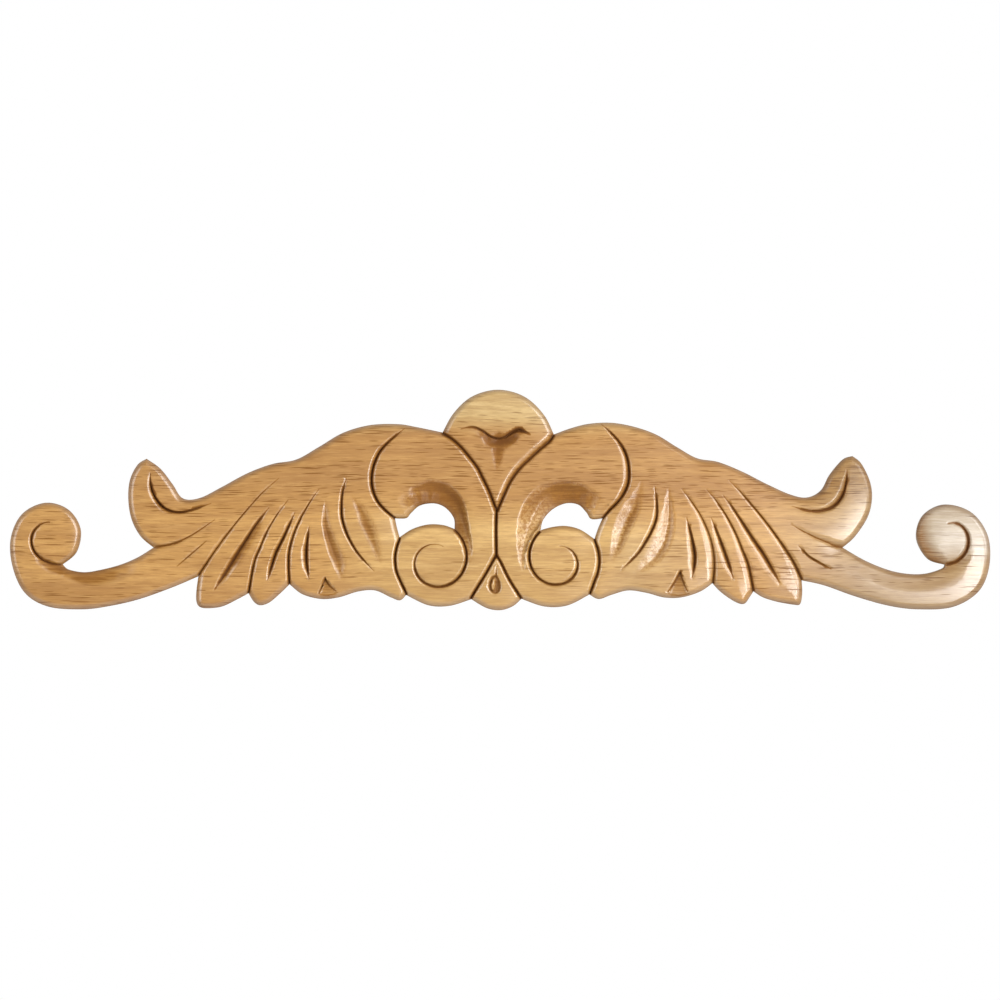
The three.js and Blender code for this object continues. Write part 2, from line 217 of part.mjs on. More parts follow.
   "path": [[47.1, -0.5], [44.8, 0.7], [38.7, 2.6], [32.7, 3.3], [27.1, 2.8], [21.9, 0.7], [18.4, -2.8], [15.6, -7.9], [13.3, -14.0], [11.4, -20.5], [10.5, -26.6], [10.7, -32.2]],
   "depth": [0.1, 1.2, 2.7, 3.6, 3.7, 3.6, 3.5, 3.2, 2.6, 1.8, 0.9, 0.1], "left": [5.0, 7.0, 8.0, 8.0, 8.0, 8.0, 7.0, 4.6, 2.8, 1.7, 1.1, 0.8], "right": [1.6, 4.2, 5.8, 6.6, 7.0, 7.2, 7.4, 7.0, 5.6, 3.8, 2.4, 1.2], "shape_left": [8, 1], "shape_right": [1.5, 1.45]},
  {"name": "left volute shoulder", "kind": "hollow", "solid": 0,
   "path": [[-205.2, -32.7], [-199.6, -28.0], [-196.1, -21.0], [-195.9, -12.6], [-199.2, -5.1], [-205.2, -0.9]],
   "depth": [0.1, 0.25, 0.3, 0.3, 0.2, 0.1], "left": [3.4, 4.6, 5.0, 4.6, 3.4], "right": [1.0], "shape_left": [2, 3], "shape_right": [2, 3]},
  {"name": "right volute shoulder", "kind": "hollow", "solid": 0,
   "path": [[209.0, -33.1], [203.4, -29.9], [198.2, -24.7], [195.0, -17.7], [195.0, -9.3], [198.2, -2.3], [203.8, 1.9]],
   "depth": [0.1, 0.5, 0.6, 0.6, 0.5, 0.3, 0.1], "left": [1.0], "right": [5.0, 7.0, 8.0, 8.0, 7.0, 5.0], "shape_left": [2, 3], "shape_right": [2, 3]},
  {"name": "left tail trough", "kind": "hollow", "solid": 1,
   "path": [[-202.4, -33.8], [-197.8, -35.0], [-191.7, -35.9], [-184.7, -35.4], [-176.3, -32.9], [-168.8, -29.9]],
   "depth": [0.8, 1.4, 1.6, 1.4, 0.8, 0.1], "left": [1.0, 3.6, 5.0, 5.0, 4.0, 3.0], "right": [4.0, 5.5, 6.0, 5.5, 4.0], "shape_left": [8, 1], "shape_right": [2, 3]},
  {"name": "left throat", "kind": "hollow", "solid": 0,
   "path": [[-216.4, -24.3], [-213.2, -27.8], [-209.0, -29.9], [-204.8, -31.7], [-201.0, -34.0]],
   "depth": [0.1, 0.9, 1.4, 1.5, 0.6], "left": [1.0, 1.6, 2.0, 2.0, 1.6], "right": [2.6, 4.0, 4.6, 4.4, 3.0], "shape_left": [2, 2], "shape_right": [2, 2]},
  {"name": "right tail trough", "kind": "hollow", "solid": 1,
   "path": [[218.8, -17.7], [217.8, -23.8], [214.6, -29.4], [209.0, -33.6], [202.4, -35.9], [195.0, -37.3], [187.5, -36.8], [179.1, -35.0], [169.8, -31.3]],
   "depth": [0.05, 0.16, 0.26, 0.34, 0.38, 0.38, 0.32, 0.22, 0.08], "left": [3.0, 4.0, 5.0, 6.4, 7.6, 8.0, 7.6, 5.0], "right": [1.0, 1.5, 2.4, 3.4, 4.6, 5.0, 4.2, 3.0], "shape_left": [2, 3], "shape_right": [2, 3]},
  {"name": "right throat", "kind": "hollow", "solid": 0,
   "path": [[218.8, -23.8], [216.0, -27.1], [212.2, -29.6], [208.5, -31.7], [204.3, -34.3]],
   "depth": [0.1, 0.8, 1.2, 1.2, 0.4], "left": [2.4, 3.6, 4.2, 4.0, 3.0], "right": [1.0, 1.4, 1.6, 1.6, 1.4], "shape_left": [2, 2], "shape_right": [2, 2]},
];
// A cut follows its path, and its depth and the reach of its two flanks change along it.
// left and right are as seen by one who walks the path with the carved face upward.

// ---------------------------------------------------------------- curves
function walk(curve, pieces) {
  const out = [];
  for (let i = 0; i <= pieces; i++) out.push(curve(i / pieces));
  return out;
}

function splinePath(stations, perSpan) {
  const c = new THREE.SplineCurve(stations.map(([x, z]) => new THREE.Vector2(x, z)));
  return walk((t) => c.getPoint(t), (stations.length - 1) * perSpan);
}

function spiralPath(cx, cz, r0, r1, bow, a0, a1, stepDeg) {
  const turn = Math.abs(a1 - a0);
  return walk((u) => {
    const a = THREE.MathUtils.degToRad(a0 + (a1 - a0) * u);
    const r = r0 + (r1 - r0) * u + bow * u * (1 - u);
    return new THREE.Vector2(cx + r * Math.cos(a), cz + r * Math.sin(a));
  }, Math.ceil(turn / stepDeg));
}

function cutPath(path) {
  if (path[0] === 'spiral') {
    const [, cx, cz, r0, r1, bow, a0, a1] = path;
    return spiralPath(cx, cz, r0, r1, bow, a0, a1, 5);
  }
  return splinePath(path, 10);
}

// value along a path from evenly spaced stations, eased between them
function along(stations, t) {
  if (stations.length === 1) return stations[0];
  const f = Math.min(Math.max(t, 0), 1) * (stations.length - 1);
  const i = Math.min(Math.floor(f), stations.length - 2);
  const u = f - i;
  return stations[i] + (stations[i + 1] - stations[i]) * u * u * (3 - 2 * u);
}

function chain(points) {
  const reach = [0];
  for (let i = 1; i < points.length; i++) reach.push(reach[i - 1] + points[i].distanceTo(points[i - 1]));
  return { points, reach, length: reach[reach.length - 1] };
}

// nearest place on a chain: signed distance (+ on its left side) and the part of its length
function nearest(ch, x, z) {
  let best = Infinity, side = 1, t = 0;
  const p = ch.points;
  for (let i = 0; i < p.length - 1; i++) {
    const ax = p[i].x, az = p[i].y, dx = p[i + 1].x - ax, dz = p[i + 1].y - az;
    const ll = dx * dx + dz * dz;
    if (ll === 0) continue;
    const u = Math.min(Math.max(((x - ax) * dx + (z - az) * dz) / ll, 0), 1);
    const ex = x - ax - u * dx, ez = z - az - u * dz;
    const d = ex * ex + ez * ez;
    if (d < best) {
      best = d;
      side = dx * ez - dz * ex >= 0 ? 1 : -1;
      t = (ch.reach[i] + u * Math.sqrt(ll)) / ch.length;
    }
  }
  return { distance: Math.sqrt(best), side, t };
}

// ---------------------------------------------------------------- outline
// chooses facet ends along a run: as long as the sag and the length allow
function facet(points) {
  const out = [points[0]];
  let i = 0;
  while (i < points.length - 1) {
    let j = i + 1;
    for (let k = i + 2; k < points.length; k++) {
      const a = points[i], b = points[k];
      const l = a.distanceTo(b);
      if (l > OUTLINE_STEP) break;
      let sag = 0;
      for (let m = i + 1; m < k; m++) {
        const q = points[m];
        sag = Math.max(sag, Math.abs((b.x - a.x) * (q.y - a.y) - (b.y - a.y) * (q.x - a.x)) / l);
      }
      if (sag > OUTLINE_SAG) break;
      j = k;
    }
    out.push(points[j]);
    i = j;
  }
  return out;
}

function loopOf(runs, ccw) {
  const ring = [], fine = [];
  for (const [, stations] of runs) {
    const dense = splinePath(stations, 16);
    facet(dense).slice(0, -1).forEach((p) => ring.push(p));
    dense.slice(0, -1).forEach((p) => fine.push(p));
  }
  const flip = (THREE.ShapeUtils.area(ring) > 0) !== ccw;
  if (flip) { ring.reverse(); fine.reverse(); }
  return { ring, fine: chain([...fine, fine[0]]) };
}

const outer = loopOf(OUTER, true);
const eyes = [loopOf(EYE_LEFT, false), loopOf(EYE_RIGHT, false)];
const loops = [outer, ...eyes];

function inside(ring, x, z) {
  let odd = false;
  for (let i = 0, j = ring.length - 1; i < ring.length; j = i++) {
    const a = ring[i], b = ring[j];
    if ((a.y > z) !== (b.y > z) && x < ((b.x - a.x) * (z - a.y)) / (b.y - a.y) + a.x) odd = !odd;
  }
  return odd;
}
const onBoard = (x, z) => inside(outer.ring, x, z) && !eyes.some((e) => inside(e.ring, x, z));
const edgeDistance = (x, z) => Math.min(...loops.map((l) => nearest(l.fine, x, z).distance));

// ---------------------------------------------------------------- carving
const cuts = CUTS.map((c) => {
  const ch = chain(cutPath(c.path));
  const reach = Math.max(...c.left, ...c.right);
  const box = new THREE.Box2().setFromPoints(ch.points).expandByScalar(reach);
  return { ...c, ch, box };
});

function cutDepth(c, x, z) {
  if (!c.box.containsPoint(new THREE.Vector2(x, z))) return 0;
  const n = nearest(c.ch, x, z);
  const reach = along(n.side > 0 ? c.left : c.right, n.t);
  const s = n.distance / reach;
  if (s >= 1) return 0;
  const [q, p] = n.side > 0 ? c.shape_left : c.shape_right;
  return along(c.depth, n.t) * Math.pow(1 - Math.pow(s, q), p);
}

function fallAt(x, z) {
  let line = 0, hollow = 0;
  for (const c of cuts) {
    const d = cutDepth(c, x, z) ** MEET;
    if (c.kind === 'line') line += d;
    else hollow += d;
  }
  line **= 1 / MEET;
  hollow **= 1 / MEET;
  const e = edgeDistance(x, z);
  const u = Math.min(1, Math.max(0, 1 - e / EDGE_ROUND));
  const round = EDGE_ROUND * (ARRIS * u + (1 - ARRIS) * (1 - Math.sqrt(1 - u * u)));
  const pillow = e < PILLOW_REACH ? PILLOW * (1 - e / PILLOW_REACH) ** 2 : 0;
  const cut = Math.pow(line ** BLEND + hollow ** BLEND + round ** BLEND, 1 / BLEND);
  return Math.min(cut + pillow, DEEPEST);
}

// ---------------------------------------------------------------- corners of the face
const corners = [];
function roomFor(x, z, gap) {
  for (const c of corners) if ((c.x - x) ** 2 + (c.y - z) ** 2 < gap * gap) return false;
  return true;
}
function add(x, z, gap, fromEdge = 0) {
  if (fromEdge > 0 && (!onBoard(x, z) || edgeDistance(x, z) < fromEdge)) return;
  if (roomFor(x, z, gap)) corners.push(new THREE.Vector2(x, z));
}

for (const l of loops) corners.push(...l.ring);

function pointAt(ch, t) {
  const want = t * ch.length;
  let i = 1;
  while (i < ch.reach.length - 1 && ch.reach[i] < want) i++;
  const u = (want - ch.reach[i - 1]) / (ch.reach[i] - ch.reach[i - 1] || 1);
  return ch.points[i - 1].clone().lerp(ch.points[i], u);
}

// corners on the bottom of a cut
function bottomRow(c, gap) {
  const n = Math.max(2, Math.round(c.ch.length / CUT_STEP));
  for (let i = 0; i <= n; i++) {
    const p = pointAt(c.ch, i / n);
    add(p.x, p.y, gap, 0.9);
  }
}

// corners at the top of both flanks, and half-way down where a flank is wide
function flankRows(c, gap) {
  const n = Math.max(2, Math.round(c.ch.length / CUT_STEP));
  for (const side of [1, -1]) {
    for (let i = 0; i <= n; i++) {
      const t = i / n;
      const d = pointAt(c.ch, Math.min(1, t + 0.02)).sub(pointAt(c.ch, Math.max(0, t - 0.02))).normalize();
      const p = pointAt(c.ch, t);
      const w = Math.max(1.25, along(side > 0 ? c.left : c.right, t));
      for (const r of w > 3.4 ? [0.5, 1] : [1]) add(p.x - d.y * side * w * r, p.y + d.x * side * w * r, gap, 0.9);
    }
  }
}

// rows that carry the rounded edge
function edgeRow(depthIn, gap) {
  for (const l of loops) {
    const n = l.ring.length;
    for (let i = 0; i < n; i++) {
      const a = l.ring[(i + n - 1) % n], b = l.ring[i], c = l.ring[(i + 1) % n];
      const t = c.clone().sub(a).normalize();
      add(b.x - t.y * depthIn, b.y + t.x * depthIn, gap, depthIn * 0.85);
      if (depthIn < 1 && b.distanceTo(c) > 3.2) {
        const s = c.clone().sub(b).normalize();
        const m = b.clone().lerp(c, 0.5);
        add(m.x - s.y * depthIn, m.y + s.x * depthIn, gap, depthIn * 0.6);
      }
    }
  }
}

const lineCuts = cuts.filter((c) => c.solid && c.kind === 'line');
const hollowCuts = cuts.filter((c) => c.solid && c.kind !== 'line');
for (const c of lineCuts) bottomRow(c, MERGE);
edgeRow(0.75, 0.7);
for (const c of lineCuts) flankRows(c, MERGE);
edgeRow(EDGE_ROUND, 1.3);
for (const c of hollowCuts) bottomRow(c, 2.0);
for (const c of hollowCuts) flankRows(c, 2.2);

const size = new THREE.Box2().setFromPoints(outer.ring);
let row = 0;
for (let z = size.min.y; z <= size.max.y; z += FIELD_STEP * 0.866, row++) {
  for (let x = size.min.x + (row % 2) * FIELD_STEP * 0.5; x <= size.max.x; x += FIELD_STEP) {
    add(x + 0.03 * Math.sin(7 * z), z + 0.03 * Math.sin(5 * x), 2.9, 1.8);
  }
}

// ---------------------------------------------------------------- triangles
function delaunay(pts) {
  const n = pts.length;
  const b = new THREE.Box2().setFromPoints(pts);
  const mid = b.getCenter(new THREE.Vector2()), big = 20 * b.getSize(new THREE.Vector2()).length();
  const all = [...pts, new THREE.Vector2(mid.x - big, mid.y - big), new THREE.Vector2(mid.x + big, mid.y - big), new THREE.Vector2(mid.x, mid.y + big)];
  const circle = (i, j, k) => {
    const a = all[i], c = all[j], e = all[k];
    const d = 2 * (a.x * (c.y - e.y) + c.x * (e.y - a.y) + e.x * (a.y - c.y));
    const aa = a.lengthSq(), cc = c.lengthSq(), ee = e.lengthSq();
    const x = (aa * (c.y - e.y) + cc * (e.y - a.y) + ee * (a.y - c.y)) / d;
    const y = (aa * (e.x - c.x) + cc * (a.x - e.x) + ee * (c.x - a.x)) / d;
    return { v: [i, j, k], x, y, r: (a.x - x) ** 2 + (a.y - y) ** 2 };
  };
  const order = pts.map((_, i) => i).sort((i, j) => pts[i].x - pts[j].x || pts[i].y - pts[j].y);
  let open = [circle(n, n + 1, n + 2)];
  const done = [];
  for (const i of order) {
    const p = all[i];
    const rim = new Map();
    const keep = [];
    for (const t of open) {
      const dx = p.x - t.x;
      if (dx > 0 && dx * dx > t.r) { done.push(t); continue; }
      if (dx * dx + (p.y - t.y) ** 2 > t.r) { keep.push(t); continue; }
      const [u, v, w] = t.v;
      for (const [s, e] of [[u, v], [v, w], [w, u]]) {
        const back = `${e},${s}`;
        if (rim.has(back)) rim.delete(back); else rim.set(`${s},${e}`, [s, e]);
      }
    }
    for (const [s, e] of rim.values()) keep.push(circle(s, e, i));
    open = keep;
  }
  return [...done, ...open].map((t) => t.v).filter((v) => v.every((k) => k < n));
}

function faceOf(pts, rings) {
  const tris = delaunay(pts).map(([a, b, c]) => {
    const area = (pts[b].x - pts[a].x) * (pts[c].y - pts[a].y) - (pts[b].y - pts[a].y) * (pts[c].x - pts[a].x);
    return area > 0 ? [a, b, c] : [a, c, b];
  });
  const edges = new Set();
  for (const [a, b, c] of tris) for (const [s, e] of [[a, b], [b, c], [c, a]]) edges.add(`${s},${e}`);
  const missing = [];
  for (const ring of rings) {
    for (let i = 0; i < ring.length; i++) {
      const s = ring[i], e = ring[(i + 1) % ring.length];
      if (!edges.has(`${s},${e}`)) missing.push([ring, i]);
    }
  }
  return { tris, missing };
}

// outline rings as corner numbers; a facet that the mesh crosses is halved until none is
const rings = [];
{
  let at = 0;
  for (const l of loops) {
    rings.push(l.ring.map((_, i) => at + i));
    at += l.ring.length;
  }
}
let face = faceOf(corners, rings);
for (let round = 0; round < 12 && face.missing.length; round++) {
  for (const ring of rings) {
    const hits = face.missing.filter(([r]) => r === ring).map(([, i]) => i).sort((a, b) => b - a);
    for (const i of hits) {
      const s = corners[ring[i]], e = corners[ring[(i + 1) % ring.length]];
      corners.push(s.clone().lerp(e, 0.5));
      ring.splice(i + 1, 0, corners.length - 1);
    }
  }
  face = faceOf(corners, rings);
}

const polygon = rings.map((r) => r.map((i) => corners[i]));
const kept = face.tris.filter(([a, b, c]) => {
  const x = (corners[a].x + corners[b].x + corners[c].x) / 3, z = (corners[a].y + corners[b].y + corners[c].y) / 3;
  return inside(polygon[0], x, z) && !inside(polygon[1], x, z) && !inside(polygon[2], x, z);
});

// ---------------------------------------------------------------- the closed board
function onlayGeometry() {
  const position = [], index = [];
  const front = corners.map((c) => {
    position.push(c.x, -(THICKNESS - fallAt(c.x, c.y)), c.y);
    return position.length / 3 - 1;
  });
  const back = new Map();
  for (const ring of rings) for (const i of ring) {
    position.push(corners[i].x, 0, corners[i].y);
    back.set(i, position.length / 3 - 1);
  }
  for (const [a, b, c] of kept) index.push(front[a], front[b], front[c]);
  for (const ring of rings) {
    for (let i = 0; i < ring.length; i++) {
      const s = ring[i], e = ring[(i + 1) % ring.length];
      index.push(front[e], front[s], back.get(s), front[e], back.get(s), back.get(e));
    }
  }
  const flat = rings.flat();
  for (const [a, b, c] of THREE.ShapeUtils.triangulateShape(polygon[0], [polygon[1], polygon[2]])) {
    const v = [flat[a], flat[b], flat[c]];
    const p = v.map((i) => corners[i]);
    const area = (p[1].x - p[0].x) * (p[2].y - p[0].y) - (p[1].y - p[0].y) * (p[2].x - p[0].x);
    const t = area > 0 ? [v[0], v[2], v[1]] : v;
    index.push(...t.map((i) => back.get(i)));
  }
  const g = new THREE.BufferGeometry();
  g.setAttribute('position', new THREE.Float32BufferAttribute(position, 3));
  g.setIndex(index);
  g.computeVertexNormals();
  return g;
}

const wood = new THREE.MeshStandardMaterial({ color: 0xc9a067, roughness: 0.42, metalness: 0.0 });
const onlay = new THREE.Mesh(onlayGeometry(), wood);
onlay.name = 'onlay';

const part = new THREE.Group();
part.name = 'pressed_wood_onlay';
part.add(onlay);

export default part;
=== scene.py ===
# The carved wood onlay, seen square from the front on a white ground.
# The face is rebuilt at fine pitch from the drawing below: outline runs, then cuts whose depth
# and flanks change along their path. Drawing values are millimetres, the scene is in metres.
import math
import bpy
import numpy as np
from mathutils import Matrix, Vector, geometry, kdtree


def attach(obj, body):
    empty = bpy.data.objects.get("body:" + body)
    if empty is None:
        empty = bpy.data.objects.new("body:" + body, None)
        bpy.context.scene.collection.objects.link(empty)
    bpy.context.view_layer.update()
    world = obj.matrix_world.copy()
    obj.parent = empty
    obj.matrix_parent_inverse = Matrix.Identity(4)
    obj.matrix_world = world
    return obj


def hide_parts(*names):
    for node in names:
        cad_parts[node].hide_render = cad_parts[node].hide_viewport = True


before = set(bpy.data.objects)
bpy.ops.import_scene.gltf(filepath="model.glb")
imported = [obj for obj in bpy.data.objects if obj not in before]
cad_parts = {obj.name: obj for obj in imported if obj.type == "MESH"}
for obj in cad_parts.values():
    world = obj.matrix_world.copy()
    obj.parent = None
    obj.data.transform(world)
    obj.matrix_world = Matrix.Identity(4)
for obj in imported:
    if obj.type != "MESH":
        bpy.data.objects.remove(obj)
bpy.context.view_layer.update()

# ---------------------------------------------------------------- driving sizes (mm)
THICKNESS = 10.0
EDGE_ROUND = 2.4
ARRIS = 0.3
PILLOW = 0.8
PILLOW_REACH = 13.0
DEEPEST = 4.6
BLEND = 2.5
MEET = 6

OUTLINE_STEP = 0.62        # pitch along the outline
EDGE_ROWS = (0.12, 0.3, 0.6, 1.0, 1.5, 2.0, 2.4, 2.85)
CUT_STEP = 0.62            # pitch along a cut
FLANK_ROWS = (0.0, 0.12, 0.28, 0.5, 0.75, 1.0)
HOLLOW_ROWS = (0.0, 1.0, 0.9, 0.8, 0.65, 0.5, 0.35, 0.18)
FIELD_STEP = 0.92          # pitch of the open face

# ---------------------------------------------------------------- the drawing
OUTER = [
  ["left wing top", [[-26.8, 31.5], [-38.8, 34.0], [-47.8, 35.4], [-60.9, 34.9], [-73.3, 31.3], [-84.4, 24.8], [-95.0, 18.9], [-106.2, 16.8], [-117.8, 12.5], [-129.7, 6.1], [-140.2, 0.9], [-148.1, 0.8], [-152.8, 7.3], [-158.5, 14.6], [-164.9, 19.2]]],
  ["left tip back", [[-164.9, 19.2], [-169.1, 16.4], [-172.6, 9.4], [-173.4, 0.5], [-171.9, -8.9], [-167.7, -16.9], [-161.6, -22.2]]],
  ["left tail, upper edge", [[-161.6, -22.2], [-169.3, -26.9], [-177.5, -30.3], [-186.9, -32.7], [-194.4, -33.7], [-201.4, -32.4], [-204.1, -30.1]]],
  ["left volute and tail, lower edge", [[-204.1, -30.1], [-197.5, -24.1], [-195.8, -13.5], [-201.6, -4.4], [-212.2, -1.3], [-223.0, -6.6], [-228.3, -18.2], [-227.2, -31.8], [-221.4, -43.6], [-210.5, -49.8], [-194.6, -51.0], [-181.7, -49.4], [-168.4, -46.3], [-153.2, -40.9], [-140.7, -35.6]]],
  ["left first lobe", [[-140.7, -35.6], [-141.6, -42.2], [-141.6, -47.3], [-140.0, -49.9], [-136.0, -50.5], [-129.4, -49.6], [-122.3, -46.2], [-117.3, -43.5]]],
  ["left second lobe", [[-117.3, -43.5], [-114.7, -47.6], [-111.8, -49.1], [-107.6, -47.8], [-102.3, -43.3], [-98.2, -39.3]]],
  ["left third lobe", [[-98.2, -39.3], [-92.1, -44.0], [-83.3, -46.2], [-75.1, -45.4], [-66.2, -42.7], [-58.3, -42.2], [-50.8, -45.5], [-46.6, -46.8], [-43.8, -44.3]]],
  ["left disc foot", [[-43.8, -44.3], [-33.5, -49.1], [-23.6, -49.4], [-13.4, -46.3]]],
  ["centre foot", [[-13.4, -46.3], [-6.3, -50.4], [0.2, -51.4], [5.9, -49.6], [10.0, -46.1]]],
  ["right disc foot", [[10.0, -46.1], [20.8, -49.7], [31.4, -49.2], [41.7, -44.1]]],
  ["right third lobe", [[41.7, -44.1], [46.1, -46.2], [52.2, -44.2], [59.8, -42.2], [68.2, -43.3], [76.7, -45.5], [84.9, -45.4], [93.4, -42.7], [99.1, -38.8]]],
  ["right second lobe", [[99.1, -38.8], [102.3, -42.3], [107.0, -45.9], [111.5, -48.3], [114.3, -48.2], [116.4, -45.4], [118.2, -42.6]]],
  ["right first lobe", [[118.2, -42.6], [122.6, -45.4], [128.5, -47.3], [134.0, -48.4], [137.4, -48.9], [139.6, -48.9], [140.6, -46.8], [141.0, -42.4], [140.7, -37.5]]],
  ["right volute and tail, lower edge", [[140.7, -37.5], [151.4, -39.9], [165.8, -45.0], [181.2, -49.3], [195.0, -51.0], [211.2, -49.9], [223.2, -42.7], [228.2, -31.0], [227.6, -16.8], [219.9, -5.8], [207.3, -2.1], [197.2, -7.3], [194.2, -17.7], [199.3, -27.3], [207.4, -30.2]]],
  ["right tail, upper edge", [[207.4, -30.2], [206.2, -32.0], [198.9, -34.3], [190.8, -34.5], [181.4, -32.7], [170.4, -28.3], [159.8, -22.2]]],
  ["right tip back", [[159.8, -22.2], [165.5, -17.1], [171.4, -8.2], [173.5, 0.3], [172.6, 8.5], [168.6, 16.9], [164.4, 20.5]]],
  ["right wing top", [[164.4, 20.5], [159.8, 18.8], [153.8, 11.8], [149.7, 4.5], [143.3, 1.2], [135.3, 2.6], [123.7, 7.8], [113.3, 13.1], [101.9, 17.7], [91.9, 19.5], [82.8, 24.5], [73.1, 30.4], [63.2, 34.0], [52.4, 36.0], [41.9, 35.6], [33.4, 33.6], [25.1, 30.6]]],
  ["centre crest", [[25.1, 30.6], [20.8, 39.3], [13.3, 47.0], [4.5, 50.8], [-4.7, 51.1], [-14.2, 47.6], [-21.8, 40.3], [-26.8, 31.5]]],
]
EYE_LEFT = [
  ["left eye, crown", [[-49.0, -8.6], [-43.8, -8.5], [-41.5, -6.1], [-37.3, -2.6], [-30.8, -1.6], [-25.5, -3.6], [-21.6, -8.4], [-21.2, -13.5]]],
  ["left eye, on the disc", [[-21.2, -13.5], [-26.5, -11.7], [-33.4, -11.4], [-40.8, -13.5], [-46.9, -17.4]]],
  ["left eye, on the leaf", [[-46.9, -17.4], [-48.2, -12.5], [-49.0, -8.6]]],
]
EYE_RIGHT = [
  ["right eye, crown", [[18.9, -14.1], [20.2, -9.2], [24.5, -4.4], [30.7, -1.6], [36.5, -2.2], [40.3, -5.8], [42.6, -8.9], [47.8, -8.6]]],
  ["right eye, on the leaf", [[47.8, -8.6], [45.7, -13.4], [44.1, -18.2]]],
  ["right eye, on the disc", [[44.1, -18.2], [37.4, -13.8], [30.8, -12.1], [24.4, -12.6], [18.9, -14.1]]],
]
